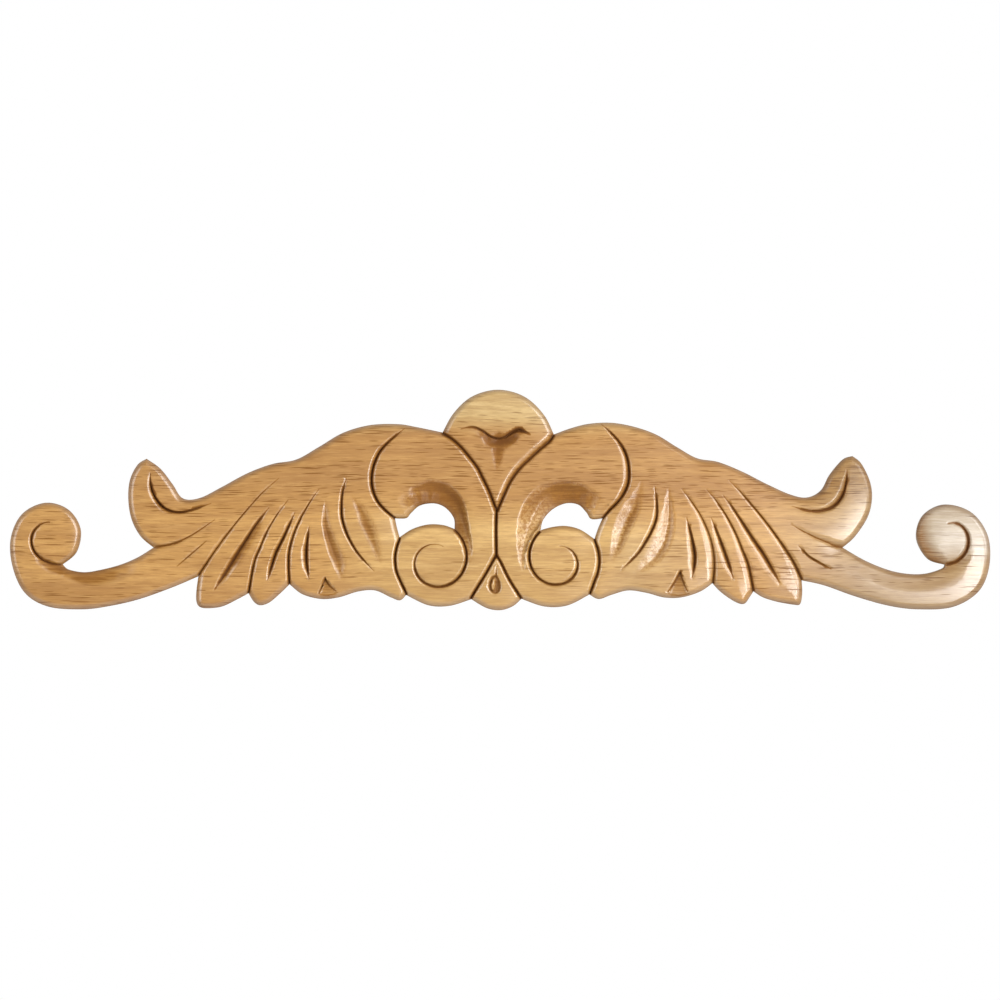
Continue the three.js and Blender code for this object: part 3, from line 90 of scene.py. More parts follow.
# dark sets how much stain and painted shade a cut lays into the wood round it
CUTS = [
  {"name": "left volute spiral", "kind": "line", "solid": 1,
   "path": ["spiral", -211.6, -15.8, 5.69, 15.86, -16.37, 78, 295],
   "depth": [0.5, 1.7, 2.2, 2.2, 1.8], "left": [0.75, 1.27, 1.42, 1.65, 2.25], "right": [0.84, 1.68, 1.96, 1.96, 2.38], "shape_left": [1, 2], "shape_right": [1, 3], "dark": [1.0]},
  {"name": "left curl", "kind": "line", "solid": 1,
   "path": [[-163.0, 12.1], [-162.8, 7.5], [-161.4, 2.6], [-158.4, -1.9], [-154.9, -4.6], [-150.2, -5.7], [-144.6, -4.9], [-134.8, -1.6]],
   "depth": [0.4, 2.3, 2.9, 2.7, 1.5, 0.2], "left": [0.38, 0.68, 0.9, 0.9, 0.75, 0.6], "right": [2.24, 3.22, 2.94, 1.96, 1.26, 0.7], "shape_left": [1, 2], "shape_right": [1, 3], "dark": [1.1]},
  {"name": "left leaf over tail", "kind": "line", "solid": 1,
   "path": [[-160.6, -21.9], [-153.8, -20.7], [-148.0, -18.6], [-141.7, -15.1], [-133.3, -9.4]],
   "depth": [2.0, 1.5, 1.1, 0.8, 0.2], "left": [1.65, 1.12, 0.75, 0.52], "right": [2.52, 1.82, 0.98, 0.56], "shape_left": [1, 2], "shape_right": [1, 2], "dark": [0.8]},
  {"name": "left vein", "kind": "line", "solid": 0,
   "path": [[-150.1, -30.5], [-144.6, -25.7], [-136.9, -19.1]],
   "depth": [0.3, 1.0, 0.8, 0.2], "left": [0.45, 0.6, 0.45], "right": [0.42, 0.56, 0.42], "shape_left": [1, 2], "shape_right": [1, 2], "dark": [0.8]},
  {"name": "left lobe line a", "kind": "line", "solid": 1,
   "path": [[-103.5, 9.8], [-111.1, 3.1], [-118.8, -5.5], [-126.4, -14.8], [-133.1, -23.9], [-140.4, -34.7]],
   "depth": [0.2, 0.9, 1.3, 1.6, 2.4], "left": [0.52, 0.83, 1.05, 1.35, 1.65], "right": [0.49, 0.77, 0.98, 1.26, 1.54], "shape_left": [1, 2], "shape_right": [1, 2], "dark": [0.75]},
  {"name": "left gouge a", "kind": "line", "solid": 1,
   "path": [[-107.7, -3.5], [-113.5, -11.0], [-118.3, -18.2], [-123.0, -25.6], [-127.8, -33.5], [-133.1, -41.7]],
   "depth": [0.2, 1.6, 2.3, 2.7, 2.3, 0.3], "left": [0.68, 2.04, 2.89, 3.57, 3.4, 1.7], "right": [0.62, 1.25, 1.72, 2.18, 2.18, 1.4], "shape_left": [1, 2], "shape_right": [1, 2], "dark": [1.25]},
  {"name": "left gouge a, bank", "kind": "hollow", "solid": 0,
   "path": [[-110.5, -6.5], [-113.5, -11.0], [-118.3, -18.2], [-123.0, -25.6], [-127.8, -33.5]],
   "depth": [0.1, 0.6, 0.75, 0.6, 0.1], "left": [3.0, 4.8, 5.2, 4.8, 3.0], "right": [0.6], "shape_left": [1, 1.4], "shape_right": [2, 2], "dark": [3.84]},
  {"name": "left lobe line b", "kind": "line", "solid": 1,
   "path": [[-98.9, 0.0], [-103.9, -6.7], [-108.7, -14.8], [-112.1, -22.5], [-114.7, -29.2], [-117.2, -43.1]],
   "depth": [0.2, 1.2, 1.6, 1.9, 2.6], "left": [0.52, 0.9, 1.2, 1.35, 1.5], "right": [0.56, 0.98, 1.4, 1.68, 1.82], "shape_left": [1, 2], "shape_right": [1, 3], "dark": [0.85]},
  {"name": "left gouge b", "kind": "line", "solid": 1,
   "path": [[-95.8, -6.1], [-98.0, -11.0], [-101.1, -17.7], [-104.4, -24.4], [-106.6, -31.1], [-108.3, -37.1]],
   "depth": [0.2, 1.7, 2.5, 2.7, 2.3, 0.3], "left": [0.48, 1.08, 1.56, 1.8, 1.68, 0.96], "right": [0.62, 1.25, 1.72, 2.03, 2.03, 1.25], "shape_left": [1, 2], "shape_right": [1, 2], "dark": [1.2]},
  {"name": "left lobe line c", "kind": "line", "solid": 1,
   "path": [[-84.6, 4.8], [-87.9, 0.2], [-92.0, -6.7], [-95.3, -13.4], [-97.5, -20.1], [-98.6, -26.8], [-98.3, -39.1]],
   "depth": [0.2, 1.2, 1.7, 1.9, 2.3, 2.8], "left": [0.6, 0.9, 1.12, 1.27, 1.35, 1.5], "right": [0.56, 0.98, 1.4, 1.68, 1.82, 1.82], "shape_left": [1, 2], "shape_right": [1, 3], "dark": [0.85]},
  {"name": "left gouge c", "kind": "line", "solid": 1,
   "path": [[-89.0, -12.6], [-89.9, -19.1], [-90.3, -24.3], [-90.1, -29.9], [-89.1, -36.6]],
   "depth": [0.2, 2.1, 2.9, 2.5, 0.3], "left": [0.54, 1.56, 2.16, 2.04, 0.84], "right": [0.7, 2.18, 3.43, 3.28, 1.25], "shape_left": [1, 3], "shape_right": [1, 3], "dark": [1.3]},
  {"name": "left nick, near leg", "kind": "line", "solid": 1,
   "path": [[-81.5, -36.7], [-82.7, -39.6], [-84.4, -43.1]],
   "depth": [1.9, 1.4, 0.7], "left": [0.6], "right": [0.56], "shape_left": [1, 2], "shape_right": [1, 2], "dark": [0.9]},
  {"name": "left nick, far leg", "kind": "line", "solid": 1,
   "path": [[-81.5, -36.7], [-79.7, -39.9], [-76.5, -42.4]],
   "depth": [1.9, 1.4, 0.5], "left": [0.6], "right": [0.56], "shape_left": [1, 2], "shape_right": [1, 2], "dark": [0.9]},
  {"name": "left nick floor", "kind": "hollow", "solid": 0,
   "path": [[-81.5, -37.1], [-80.6, -40.6], [-80.2, -43.8]],
   "depth": [1.5, 1.2, 0.9, 0.5], "left": [0.3, 1.5, 3.2, 4.4], "right": [0.3, 1.5, 3.2, 4.4], "shape_left": [8, 1], "shape_right": [8, 1], "dark": [1.2]},
  {"name": "left nick foot", "kind": "line", "solid": 0,
   "path": [[-84.2, -43.8], [-80.2, -44.4], [-75.8, -43.2]],
   "depth": [0.3, 0.7, 0.3], "left": [0.45], "right": [0.42], "shape_left": [1, 2], "shape_right": [1, 2], "dark": [0.6]},
  {"name": "left hollow d", "kind": "hollow", "solid": 1,
   "path": [[-81.2, -0.5], [-81.4, -6.5], [-81.2, -12.1], [-79.5, -18.2], [-77.4, -23.8], [-75.3, -29.4], [-73.7, -35.9]],
   "depth": [0.1, 0.6, 1.1, 1.4, 1.7, 1.3, 0.2], "left": [1.2, 2.6, 3.4, 4.2, 4.8, 4.8, 2.6], "right": [1.0, 1.8, 2.2, 2.8, 3.4, 3.2, 2.0], "shape_left": [1, 1.8], "shape_right": [2, 2], "dark": [1.4, 2.0, 2.1, 1.7, 1.5, 1.4], "matte": 0.6},
  {"name": "left line e", "kind": "line", "solid": 1,
   "path": [[-71.9, 9.8], [-73.3, 4.3], [-73.9, -2.3], [-73.6, -8.6], [-71.6, -15.3], [-68.5, -21.5], [-64.7, -26.8], [-59.2, -32.7]],
   "depth": [0.3, 1.7, 2.3, 2.3, 2.1, 1.5, 0.2], "left": [0.52, 0.9, 1.12, 1.12, 1.05, 0.9, 0.6], "right": [0.63, 1.68, 2.1, 1.96, 1.54, 1.12, 0.63], "shape_left": [1, 2], "shape_right": [1, 3], "dark": [1.0]},
  {"name": "left hollow f", "kind": "hollow", "solid": 1,
   "path": [[-68.8, 1.4], [-65.5, -3.7], [-62.5, -10.3], [-59.9, -16.3], [-57.8, -22.4], [-56.0, -28.5]],
   "depth": [0.1, 0.6, 0.85, 0.7, 0.45, 0.1], "left": [1.6, 3.4, 4.4, 4.2, 3.2, 2.0], "right": [1.8, 3.4, 4.4, 4.2, 3.2, 2.0], "shape_left": [1, 1.8], "shape_right": [2, 3], "dark": [1.6, 2.1, 2.4, 2.4, 2.2, 1.8], "matte": 0.6},
  {"name": "left collar line", "kind": "line", "solid": 1,
   "path": [[-44.5, 33.4], [-49.6, 29.2], [-54.1, 25.0], [-57.0, 20.9], [-59.0, 15.8], [-59.9, 10.4], [-59.4, 5.0], [-57.2, -0.4], [-53.4, -4.9], [-49.2, -8.4]],
   "depth": [0.2, 1.9, 2.6, 2.7, 2.7, 2.7, 2.8], "left": [0.6, 1.05, 1.27, 1.27, 1.27, 1.2, 1.2], "right": [0.63, 1.68, 2.38, 2.38, 2.1, 1.82, 1.4], "shape_left": [1, 2], "shape_right": [1, 3], "dark": [1.0]},
  {"name": "left leaf at the disc", "kind": "line", "solid": 1,
   "path": [[-46.8, -18.0], [-48.1, -21.9], [-48.9, -26.1], [-48.8, -29.9], [-47.9, -34.4], [-43.6, -43.8]],
   "depth": [3.0, 2.8, 2.6, 2.6, 3.0], "left": [1.12], "right": [1.82], "shape_left": [1, 2], "shape_right": [1, 3], "dark": [0.9]},
  {"name": "left disc spiral", "kind": "line", "solid": 1,
   "path": ["spiral", -30.6, -29.1, 8.49, 17.63, -10.49, 63, 417],
   "depth": [0.2, 1.2, 1.8, 2.2, 2.6, 2.8, 3.0], "left": [0.6, 0.9, 1.12, 1.65, 1.95, 1.35, 1.2], "right": [0.56, 1.12, 1.82, 1.96, 1.68, 1.82, 1.82], "shape_left": [1, 2], "shape_right": [1, 3], "dark": [0.9]},
  {"name": "left cove", "kind": "cove", "solid": 1,
   "path": [[-48.5, -0.2], [-45.2, 0.5], [-42.0, 1.4], [-38.7, 2.5], [-34.5, 3.2], [-29.9, 2.9], [-25.2, 0.9], [-21.5, -3.3], [-18.9, -8.9], [-16.6, -14.9], [-14.7, -21.0], [-14.0, -27.5]],
   "depth": [0.05, 0.35, 1.0, 2.0, 3.1, 3.6, 3.6, 3.0, 2.2, 1.3, 0.2], "left": [1.0, 2.6, 5.4, 7.0, 7.0, 6.2, 5.0, 3.8, 2.8, 2.0, 1.2], "right": [2.0, 4.5, 7.0, 8.0, 8.0, 8.0, 7.0, 5.0, 3.0, 1.8, 1.2], "shape_left": [2, 1.3], "shape_right": [8, 1], "dark": [2.6, 2.8, 2.2, 1.6, 1.45, 1.4, 1.35, 1.2, 1.05, 1.0, 0.9], "matte": 1.0},
  {"name": "crest, left side", "kind": "line", "solid": 1,
   "path": [[-26.6, 31.1], [-22.3, 28.4], [-18.2, 24.7], [-14.4, 20.2], [-10.6, 15.2], [-7.9, 9.9], [-4.9, 3.7], [-1.7, -4.7]],
   "depth": [3.0, 2.6, 2.4, 2.4, 2.5, 2.8], "left": [1.7], "right": [2.2], "shape_left": [1, 2], "shape_right": [1, 2], "dark": [1.08]},
  {"name": "crest, right side", "kind": "line", "solid": 1,
   "path": [[24.9, 30.0], [23.1, 27.4], [18.1, 23.1], [13.5, 18.8], [9.0, 14.4], [5.0, 8.8], [2.1, 2.8], [-1.3, -5.1]],
   "depth": [3.0, 2.6, 2.4, 2.4, 2.5, 2.8], "left": [1.6], "right": [3.6, 4.0, 3.8, 3.4, 3.0], "shape_left": [1, 2], "shape_right": [1, 3], "dark": [1.08]},
  {"name": "stem", "kind": "line", "solid": 1,
   "path": [[-1.6, -3.7], [-1.9, -14.0], [-1.7, -26.6]],
   "depth": [2.8, 2.8, 2.8], "left": [1.42], "right": [1.96], "shape_left": [1, 2], "shape_right": [1, 3], "dark": [1.08]},
  {"name": "foot, left side", "kind": "line", "solid": 1,
   "path": [[-1.8, -25.7], [-4.0, -29.7], [-7.1, -35.2], [-10.7, -41.0], [-13.5, -45.7]],
   "depth": [2.8, 2.4, 2.4, 2.6, 3.0], "left": [1.12], "right": [2.24], "shape_left": [1, 2], "shape_right": [1, 3], "dark": [1.08]},
  {"name": "foot, right side", "kind": "line", "solid": 1,
   "path": [[-1.7, -25.7], [0.3, -28.9], [3.1, -34.7], [5.2, -38.5], [9.8, -45.7]],
   "depth": [2.8, 2.4, 2.4, 2.6, 3.0], "left": [1.05], "right": [1.82], "shape_left": [1, 2], "shape_right": [1, 3], "dark": [1.08]},
  {"name": "brow ledge", "kind": "line", "solid": 1,
   "path": [[-18.2, 33.2], [-14.9, 33.9], [-11.6, 33.8], [-7.8, 32.0], [-4.4, 29.6], [-0.9, 28.6], [1.9, 29.1], [4.8, 31.0], [8.2, 32.6], [10.7, 32.2], [13.5, 30.8]],
   "depth": [0.3, 1.0, 1.6, 2.4, 3.1, 3.2, 2.8, 0.6], "left": [0.8, 0.8, 0.9, 0.9, 0.9, 1.0, 1.2, 0.8], "right": [0.8, 0.9, 1.2, 2.2, 3.6, 3.8, 3.2, 1.2], "shape_left": [1, 1.6], "shape_right": [1, 2.6], "dark": [1.0, 1.2, 1.3, 1.3, 1.3, 1.6, 2.4, 1.6]},
  {"name": "brow shade", "kind": "hollow", "solid": 0,
   "path": [[-11.7, 32.7], [-7.9, 30.6], [-4.7, 28.2], [-0.5, 27.3], [3.3, 28.2], [6.5, 30.1], [9.8, 31.3]],
   "depth": [0.1, 0.4, 1.2, 1.8, 1.7, 1.4, 0.3], "left": [1.2, 1.4, 1.6, 1.8, 1.4], "right": [1.6, 3.0, 4.6, 5.2, 4.4, 2.6], "shape_left": [2, 2], "shape_right": [2, 3], "dark": [2.4, 2.8, 3.0, 3.2, 3.4, 2.8], "matte": 1.0},
  {"name": "brow keel", "kind": "hollow", "solid": 1,
   "path": [[-1.1, 28.0], [-1.1, 24.3], [-1.2, 19.6], [-1.5, 14.5]],
   "depth": [1.1, 0.7, 0.4, 0.1], "left": [5.0, 4.2, 3.2, 1.6], "right": [4.6, 4.0, 3.0, 1.8], "shape_left": [2, 2], "shape_right": [2, 3], "dark": [3.0, 3.6, 4.0, 2.8], "matte": 1.0},
  {"name": "tear stalk", "kind": "line", "solid": 0,
   "path": [[-1.6, -31.0], [-1.7, -33.1], [-1.9, -36.1]],
   "depth": [0.2, 0.6, 1.2], "left": [1.2, 0.9, 0.7], "right": [1.2, 0.9, 0.7], "shape_left": [1, 2], "shape_right": [1, 2], "dark": [1.4], "blur": 1},
  {"name": "tear rim", "kind": "line", "solid": 0,
   "path": [[-2.0, -35.5], [-3.5, -36.3], [-4.2, -38.1], [-4.6, -40.0], [-4.1, -41.9], [-2.5, -43.0], [-1.0, -42.4], [-0.4, -40.7], [-0.6, -38.8], [-1.2, -37.0], [-2.0, -35.5]],
   "depth": [1.2, 1.5, 1.5, 1.5, 1.5, 1.5, 1.2], "left": [0.9], "right": [1.3], "shape_left": [1, 2], "shape_right": [1, 2], "dark": [1.9], "blur": 1},
  {"name": "tear pit", "kind": "hollow", "solid": 0,
   "path": [[-1.9, -36.6], [-1.3, -39.4], [-1.8, -42.0]],
   "depth": [0.9, 1.3, 1.2], "left": [1.0, 1.1, 1.2], "right": [0.9, 1.2, 1.4], "shape_left": [3, 1], "shape_right": [3, 1], "dark": [2.6]},
  {"name": "right volute spiral", "kind": "line", "solid": 1,
   "path": ["spiral", 206.9, -16.5, 6.11, 13.67, 6.95, 66, -83],
   "depth": [0.5, 1.8, 2.4, 2.6, 2.6], "left": [0.9, 1.5, 1.8, 1.95, 2.25], "right": [0.84, 1.68, 1.96, 1.96, 2.1], "shape_left": [1, 2], "shape_right": [1, 2], "dark": [1.1]},
  {"name": "right curl", "kind": "line", "solid": 1,
   "path": [[161.8, 14.0], [161.6, 9.2], [160.4, 3.8], [158.2, -0.3], [154.6, -3.5], [149.2, -5.1], [143.3, -4.9], [136.2, -2.9]],
   "depth": [0.3, 1.9, 2.8, 2.8, 1.9, 1.0, 0.2], "left": [0.45, 0.75, 1.2, 1.65, 1.65, 1.2, 0.75], "right": [1.12, 2.94, 3.5, 3.22, 2.1, 1.26, 0.7], "shape_left": [1, 2], "shape_right": [1, 3], "dark": [1.15]},
  {"name": "right leaf over tail", "kind": "line", "solid": 1,
   "path": [[159.3, -22.0], [155.9, -21.1], [150.9, -19.0], [145.4, -16.7], [135.7, -11.4]],
   "depth": [2.0, 1.6, 1.2, 0.8, 0.2], "left": [1.8, 1.65, 1.35, 1.05, 0.75], "right": [3.5, 3.22, 2.38, 1.4, 0.7], "shape_left": [1, 2], "shape_right": [1, 2], "dark": [0.7]},
  {"name": "right vein", "kind": "line", "solid": 0,
   "path": [[139.5, -21.6], [143.8, -26.1], [148.3, -28.9], [154.4, -32.2]],
   "depth": [0.2, 1.5, 1.7, 1.2, 0.2], "left": [0.6, 0.9, 0.9, 0.6], "right": [0.56, 0.84, 0.84, 0.56], "shape_left": [1, 2], "shape_right": [1, 2], "dark": [1.05]},
  {"name": "right lobe line a", "kind": "line", "solid": 1,
   "path": [[107.1, 8.9], [112.9, 2.9], [119.6, -4.8], [126.3, -13.2], [132.5, -22.0], [137.3, -29.7], [140.6, -36.8]],
   "depth": [0.2, 1.1, 1.6, 1.9, 2.2, 2.8], "left": [0.52, 0.75, 0.98, 1.05, 1.2, 1.35], "right": [0.7, 1.68, 2.24, 2.66, 2.8, 2.38], "shape_left": [1, 2], "shape_right": [1, 3], "dark": [0.85]},
  {"name": "right lobe line a, bank", "kind": "hollow", "solid": 0,
   "path": [[132.5, -22.0], [137.3, -29.7], [140.6, -36.8]],
   "depth": [0.1, 0.9, 1.1], "left": [0.6], "right": [2.4, 3.4, 3.6], "shape_left": [2, 2], "shape_right": [1, 1.5], "dark": [0.05]},
  {"name": "right gouge a", "kind": "line", "solid": 1,
   "path": [[104.3, 1.9], [108.1, -3.1], [112.9, -10.3], [117.7, -17.7], [122.5, -24.6], [126.8, -32.0], [130.4, -38.7]],
   "depth": [0.2, 1.5, 2.2, 2.6, 2.3, 0.3], "left": [0.48, 0.96, 1.32, 1.68, 1.68, 0.96], "right": [0.78, 2.03, 2.96, 3.74, 3.9, 2.34], "shape_left": [1, 2], "shape_right": [1, 3], "dark": [1.15]},
  {"name": "right lobe line b", "kind": "line", "solid": 1,
   "path": [[96.4, 4.8], [100.9, -0.5], [105.7, -7.6], [109.8, -15.3], [113.2, -23.5], [116.0, -31.1], [118.2, -42.2]],
   "depth": [0.2, 1.1, 1.6, 1.9, 2.2, 2.8], "left": [0.52, 0.75, 0.98, 1.05, 1.2, 1.35], "right": [0.7, 1.82, 2.52, 2.8, 2.94, 2.38], "shape_left": [1, 2], "shape_right": [1, 3], "dark": [0.85]},
  {"name": "right lobe line b, bank", "kind": "hollow", "solid": 0,
   "path": [[109.8, -15.3], [113.2, -23.5], [116.0, -31.1], [118.2, -42.2]],
   "depth": [0.1, 0.7, 1.1, 1.0], "left": [0.6], "right": [2.2, 3.0, 3.4, 3.4], "shape_left": [2, 2], "shape_right": [1, 1.5], "dark": [0.05]},
  {"name": "right gouge b", "kind": "line", "solid": 1,
   "path": [[98.8, -8.9], [101.9, -16.7], [104.8, -24.4], [107.1, -31.1], [108.8, -36.4]],
   "depth": [0.2, 1.8, 2.5, 2.3, 0.3], "left": [0.48, 0.96, 1.32, 1.32, 0.84], "right": [0.94, 2.5, 3.28, 3.43, 1.87], "shape_left": [1, 2], "shape_right": [1, 3], "dark": [1.1]},
  {"name": "right lobe line c", "kind": "line", "solid": 1,
   "path": [[84.9, 5.0], [89.5, -1.0], [93.8, -7.6], [97.3, -15.3], [99.3, -22.5], [100.0, -30.1], [99.4, -38.7]],
   "depth": [0.2, 1.1, 1.6, 1.9, 2.2, 2.8], "left": [0.52, 0.75, 0.98, 1.05, 1.2, 1.35], "right": [0.84, 2.1, 2.94, 3.36, 3.36, 2.52], "shape_left": [1, 2], "shape_right": [1, 3], "dark": [0.62]},
  {"name": "right lobe line c, bank", "kind": "hollow", "solid": 0,
   "path": [[93.8, -7.6], [97.3, -15.3], [99.3, -22.5], [100.0, -30.1], [99.4, -38.7]],
   "depth": [0.1, 0.9, 1.2, 1.1, 0.5], "left": [0.6], "right": [2.5, 3.6, 4.0, 3.6, 3.0], "shape_left": [2, 2], "shape_right": [1, 1.5], "dark": [0.05]},
  {"name": "right gouge c", "kind": "line", "solid": 1,
   "path": [[87.2, -8.9], [89.2, -16.3], [90.6, -23.3], [90.9, -28.2], [89.8, -35.9]],
   "depth": [0.2, 1.8, 2.8, 2.6, 0.3], "left": [0.48, 0.84, 1.08, 1.2, 0.72], "right": [0.94, 2.81, 3.9, 3.9, 1.87], "shape_left": [1, 2], "shape_right": [1, 3], "dark": [1.2]},
  {"name": "right nick, near leg", "kind": "line", "solid": 1,
   "path": [[84.1, -33.5], [81.4, -38.7], [78.4, -42.9]],
   "depth": [1.8, 1.3, 0.5], "left": [0.6], "right": [1.68], "shape_left": [1, 2], "shape_right": [1, 3], "dark": [0.9]},
  {"name": "right nick, far leg", "kind": "line", "solid": 1,
   "path": [[84.1, -33.5], [85.4, -38.2], [87.4, -42.4]],
   "depth": [1.8, 1.3, 0.6], "left": [0.6], "right": [0.56], "shape_left": [1, 2], "shape_right": [1, 2], "dark": [0.9]},
  {"name": "right nick floor", "kind": "hollow", "solid": 0,
   "path": [[84.1, -34.5], [83.5, -38.7], [83.0, -43.8]],
   "depth": [1.8, 1.4, 1.0, 0.5], "left": [0.4, 1.7, 3.4, 4.4], "right": [0.4, 1.7, 3.4, 4.4], "shape_left": [8, 1], "shape_right": [8, 1], "dark": [1.2]},
  {"name": "right nick foot", "kind": "line", "solid": 0,
   "path": [[78.4, -43.8], [83.0, -44.5], [88.2, -43.6]],
   "depth": [0.3, 0.7, 0.3], "left": [0.45], "right": [0.42], "shape_left": [1, 2], "shape_right": [1, 2], "dark": [0.7]},
  {"name": "right hollow d", "kind": "hollow", "solid": 1,
   "path": [[78.6, 4.7], [78.8, -2.3], [78.8, -8.9], [78.1, -14.5], [76.5, -20.1], [73.2, -25.7], [68.6, -30.3], [63.9, -33.6]],
   "depth": [0.1, 0.6, 1.0, 1.2, 1.2, 1.0, 0.5, 0.05], "left": [1.2, 2.5, 3.4, 3.8, 4.0, 3.8, 3.0, 2.0], "right": [1.2, 2.8, 4.8, 6.2, 6.8, 6.4, 5.0, 2.6], "shape_left": [1.3, 1.8], "shape_right": [1.2, 1.9], "dark": [1.3], "lit_side": -1, "matte": 0.7},
  {"name": "right line e", "kind": "line", "solid": 1,
   "path": [[72.3, 5.6], [73.2, -1.4], [73.0, -8.1], [71.0, -13.9], [67.9, -19.6], [63.9, -25.4], [56.7, -32.4]],
   "depth": [0.3, 1.7, 2.3, 2.4, 2.1, 1.5, 0.2], "left": [0.52, 0.83, 1.05, 1.05, 1.05, 0.9, 0.6], "right": [0.7, 1.68, 2.24, 2.24, 1.82, 1.12, 0.63], "shape_left": [1, 2], "shape_right": [1, 3], "dark": [1.0]},
  {"name": "right hollow f", "kind": "hollow", "solid": 1,
   "path": [[65.8, 7.5], [63.9, 0.5], [61.8, -5.1], [59.5, -10.3], [56.9, -16.3], [55.3, -21.5], [52.7, -27.1]],
   "depth": [0.1, 0.35, 1.0, 1.3, 1.2, 0.8, 0.1], "left": [1.6, 3.2, 4.0, 4.0, 3.8, 3.0, 1.8], "right": [1.6, 3.6, 5.6, 6.2, 5.6, 4.4, 2.4], "shape_left": [1.2, 1.6], "shape_right": [2, 2], "dark": [1.4, 2.0, 2.2, 2.2, 2.0, 1.6], "lit_side": -1, "matte": 0.75},
  {"name": "right collar line", "kind": "line", "solid": 1,
   "path": [[47.3, 35.4], [52.3, 30.8], [56.1, 26.3], [58.8, 21.2], [60.1, 14.9], [59.9, 8.6], [58.1, 3.7], [55.0, -0.8], [50.9, -4.9], [47.9, -8.5]],
   "depth": [0.2, 1.7, 2.6, 2.7, 2.7, 2.7, 2.8], "left": [0.6, 0.9, 1.12, 1.2, 1.27, 1.2, 1.2], "right": [0.7, 1.96, 2.94, 3.22, 3.08, 2.24, 1.26], "shape_left": [1, 2], "shape_right": [1, 3], "dark": [1.0]},
  {"name": "right leaf at the disc", "kind": "line", "solid": 1,
   "path": [[44.1, -18.5], [45.7, -23.5], [46.3, -28.5], [45.5, -33.9], [43.8, -38.5], [42.0, -43.6]],
   "depth": [3.0, 2.8, 2.7, 2.7, 3.0], "left": [1.35], "right": [2.24], "shape_left": [1, 2], "shape_right": [1, 3], "dark": [0.9]},
  {"name": "right disc spiral", "kind": "line", "solid": 1,
   "path": ["spiral", 27.9, -29.0, 7.51, 16.88, -9.24, 90, -236],
   "depth": [0.3, 1.6, 2.2, 2.4, 2.5, 2.8, 3.0], "left": [0.6, 1.05, 1.35, 1.42, 1.65, 1.8, 1.65], "right": [0.56, 1.96, 2.38, 1.68, 1.4, 1.26, 1.12], "shape_left": [1, 2], "shape_right": [1, 3], "dark": [0.9]},
  {"name": "right cove", "kind": "cove", "solid": 1,
   "path": [[47.1, -0.5], [44.8, 0.7], [38.7, 2.6], [32.7, 3.3], [27.1, 2.8], [21.9, 0.7], [18.4, -2.8], [15.6, -7.9], [13.3, -14.0], [11.4, -20.5], [10.5, -26.6], [10.7, -32.2]],
   "depth": [0.1, 1.2, 2.7, 3.6, 3.7, 3.6, 3.5, 3.2, 2.6, 1.8, 0.9, 0.1], "left": [5.0, 7.0, 8.0, 8.0, 8.0, 8.0, 7.0, 4.6, 2.8, 1.7, 1.1, 0.8], "right": [1.6, 4.2, 5.8, 6.6, 7.0, 7.2, 7.4, 7.0, 5.6, 3.8, 2.4, 1.2], "shape_left": [8, 1], "shape_right": [1.5, 1.45], "dark": [1.2, 1.25, 1.15, 0.95, 0.6, 0.4, 0.3, 0.28, 0.28, 0.3], "matte": 1.0},
  {"name": "left volute shoulder", "kind": "hollow", "solid": 0,
   "path": [[-205.2, -32.7], [-199.6, -28.0], [-196.1, -21.0], [-195.9, -12.6], [-199.2, -5.1], [-205.2, -0.9]],
   "depth": [0.1, 0.25, 0.3, 0.3, 0.2, 0.1], "left": [3.4, 4.6, 5.0, 4.6, 3.4], "right": [1.0], "shape_left": [2, 3], "shape_right": [2, 3], "dark": [1.2]},
  {"name": "right volute shoulder", "kind": "hollow", "solid": 0,
   "path": [[209.0, -33.1], [203.4, -29.9], [198.2, -24.7], [195.0, -17.7], [195.0, -9.3], [198.2, -2.3], [203.8, 1.9]],
   "depth": [0.1, 0.5, 0.6, 0.6, 0.5, 0.3, 0.1], "left": [1.0], "right": [5.0, 7.0, 8.0, 8.0, 7.0, 5.0], "shape_left": [2, 3], "shape_right": [2, 3], "dark": [2.2]},
  {"name": "left tail trough", "kind": "hollow", "solid": 1,
   "path": [[-202.4, -33.8], [-197.8, -35.0], [-191.7, -35.9], [-184.7, -35.4], [-176.3, -32.9], [-168.8, -29.9]],
   "depth": [0.8, 1.4, 1.6, 1.4, 0.8, 0.1], "left": [1.0, 3.6, 5.0, 5.0, 4.0, 3.0], "right": [4.0, 5.5, 6.0, 5.5, 4.0], "shape_left": [8, 1], "shape_right": [2, 3], "dark": [2.0, 1.7, 1.4, 1.2, 1.0, 0.9]},
  {"name": "left throat", "kind": "hollow", "solid": 0,
   "path": [[-216.4, -24.3], [-213.2, -27.8], [-209.0, -29.9], [-204.8, -31.7], [-201.0, -34.0]],
   "depth": [0.1, 0.9, 1.4, 1.5, 0.6], "left": [1.0, 1.6, 2.0, 2.0, 1.6], "right": [2.6, 4.0, 4.6, 4.4, 3.0], "shape_left": [2, 2], "shape_right": [2, 2], "dark": [1.9]},
  {"name": "right tail trough", "kind": "hollow", "solid": 1,
   "path": [[218.8, -17.7], [217.8, -23.8], [214.6, -29.4], [209.0, -33.6], [202.4, -35.9], [195.0, -37.3], [187.5, -36.8], [179.1, -35.0], [169.8, -31.3]],
   "depth": [0.05, 0.16, 0.26, 0.34, 0.38, 0.38, 0.32, 0.22, 0.08], "left": [3.0, 4.0, 5.0, 6.4, 7.6, 8.0, 7.6, 5.0], "right": [1.0, 1.5, 2.4, 3.4, 4.6, 5.0, 4.2, 3.0], "shape_left": [2, 3], "shape_right": [2, 3], "dark": [0.5, 0.6, 0.7, 0.7, 0.6, 0.5]},
  {"name": "right throat", "kind": "hollow", "solid": 0,
   "path": [[218.8, -23.8], [216.0, -27.1], [212.2, -29.6], [208.5, -31.7], [204.3, -34.3]],
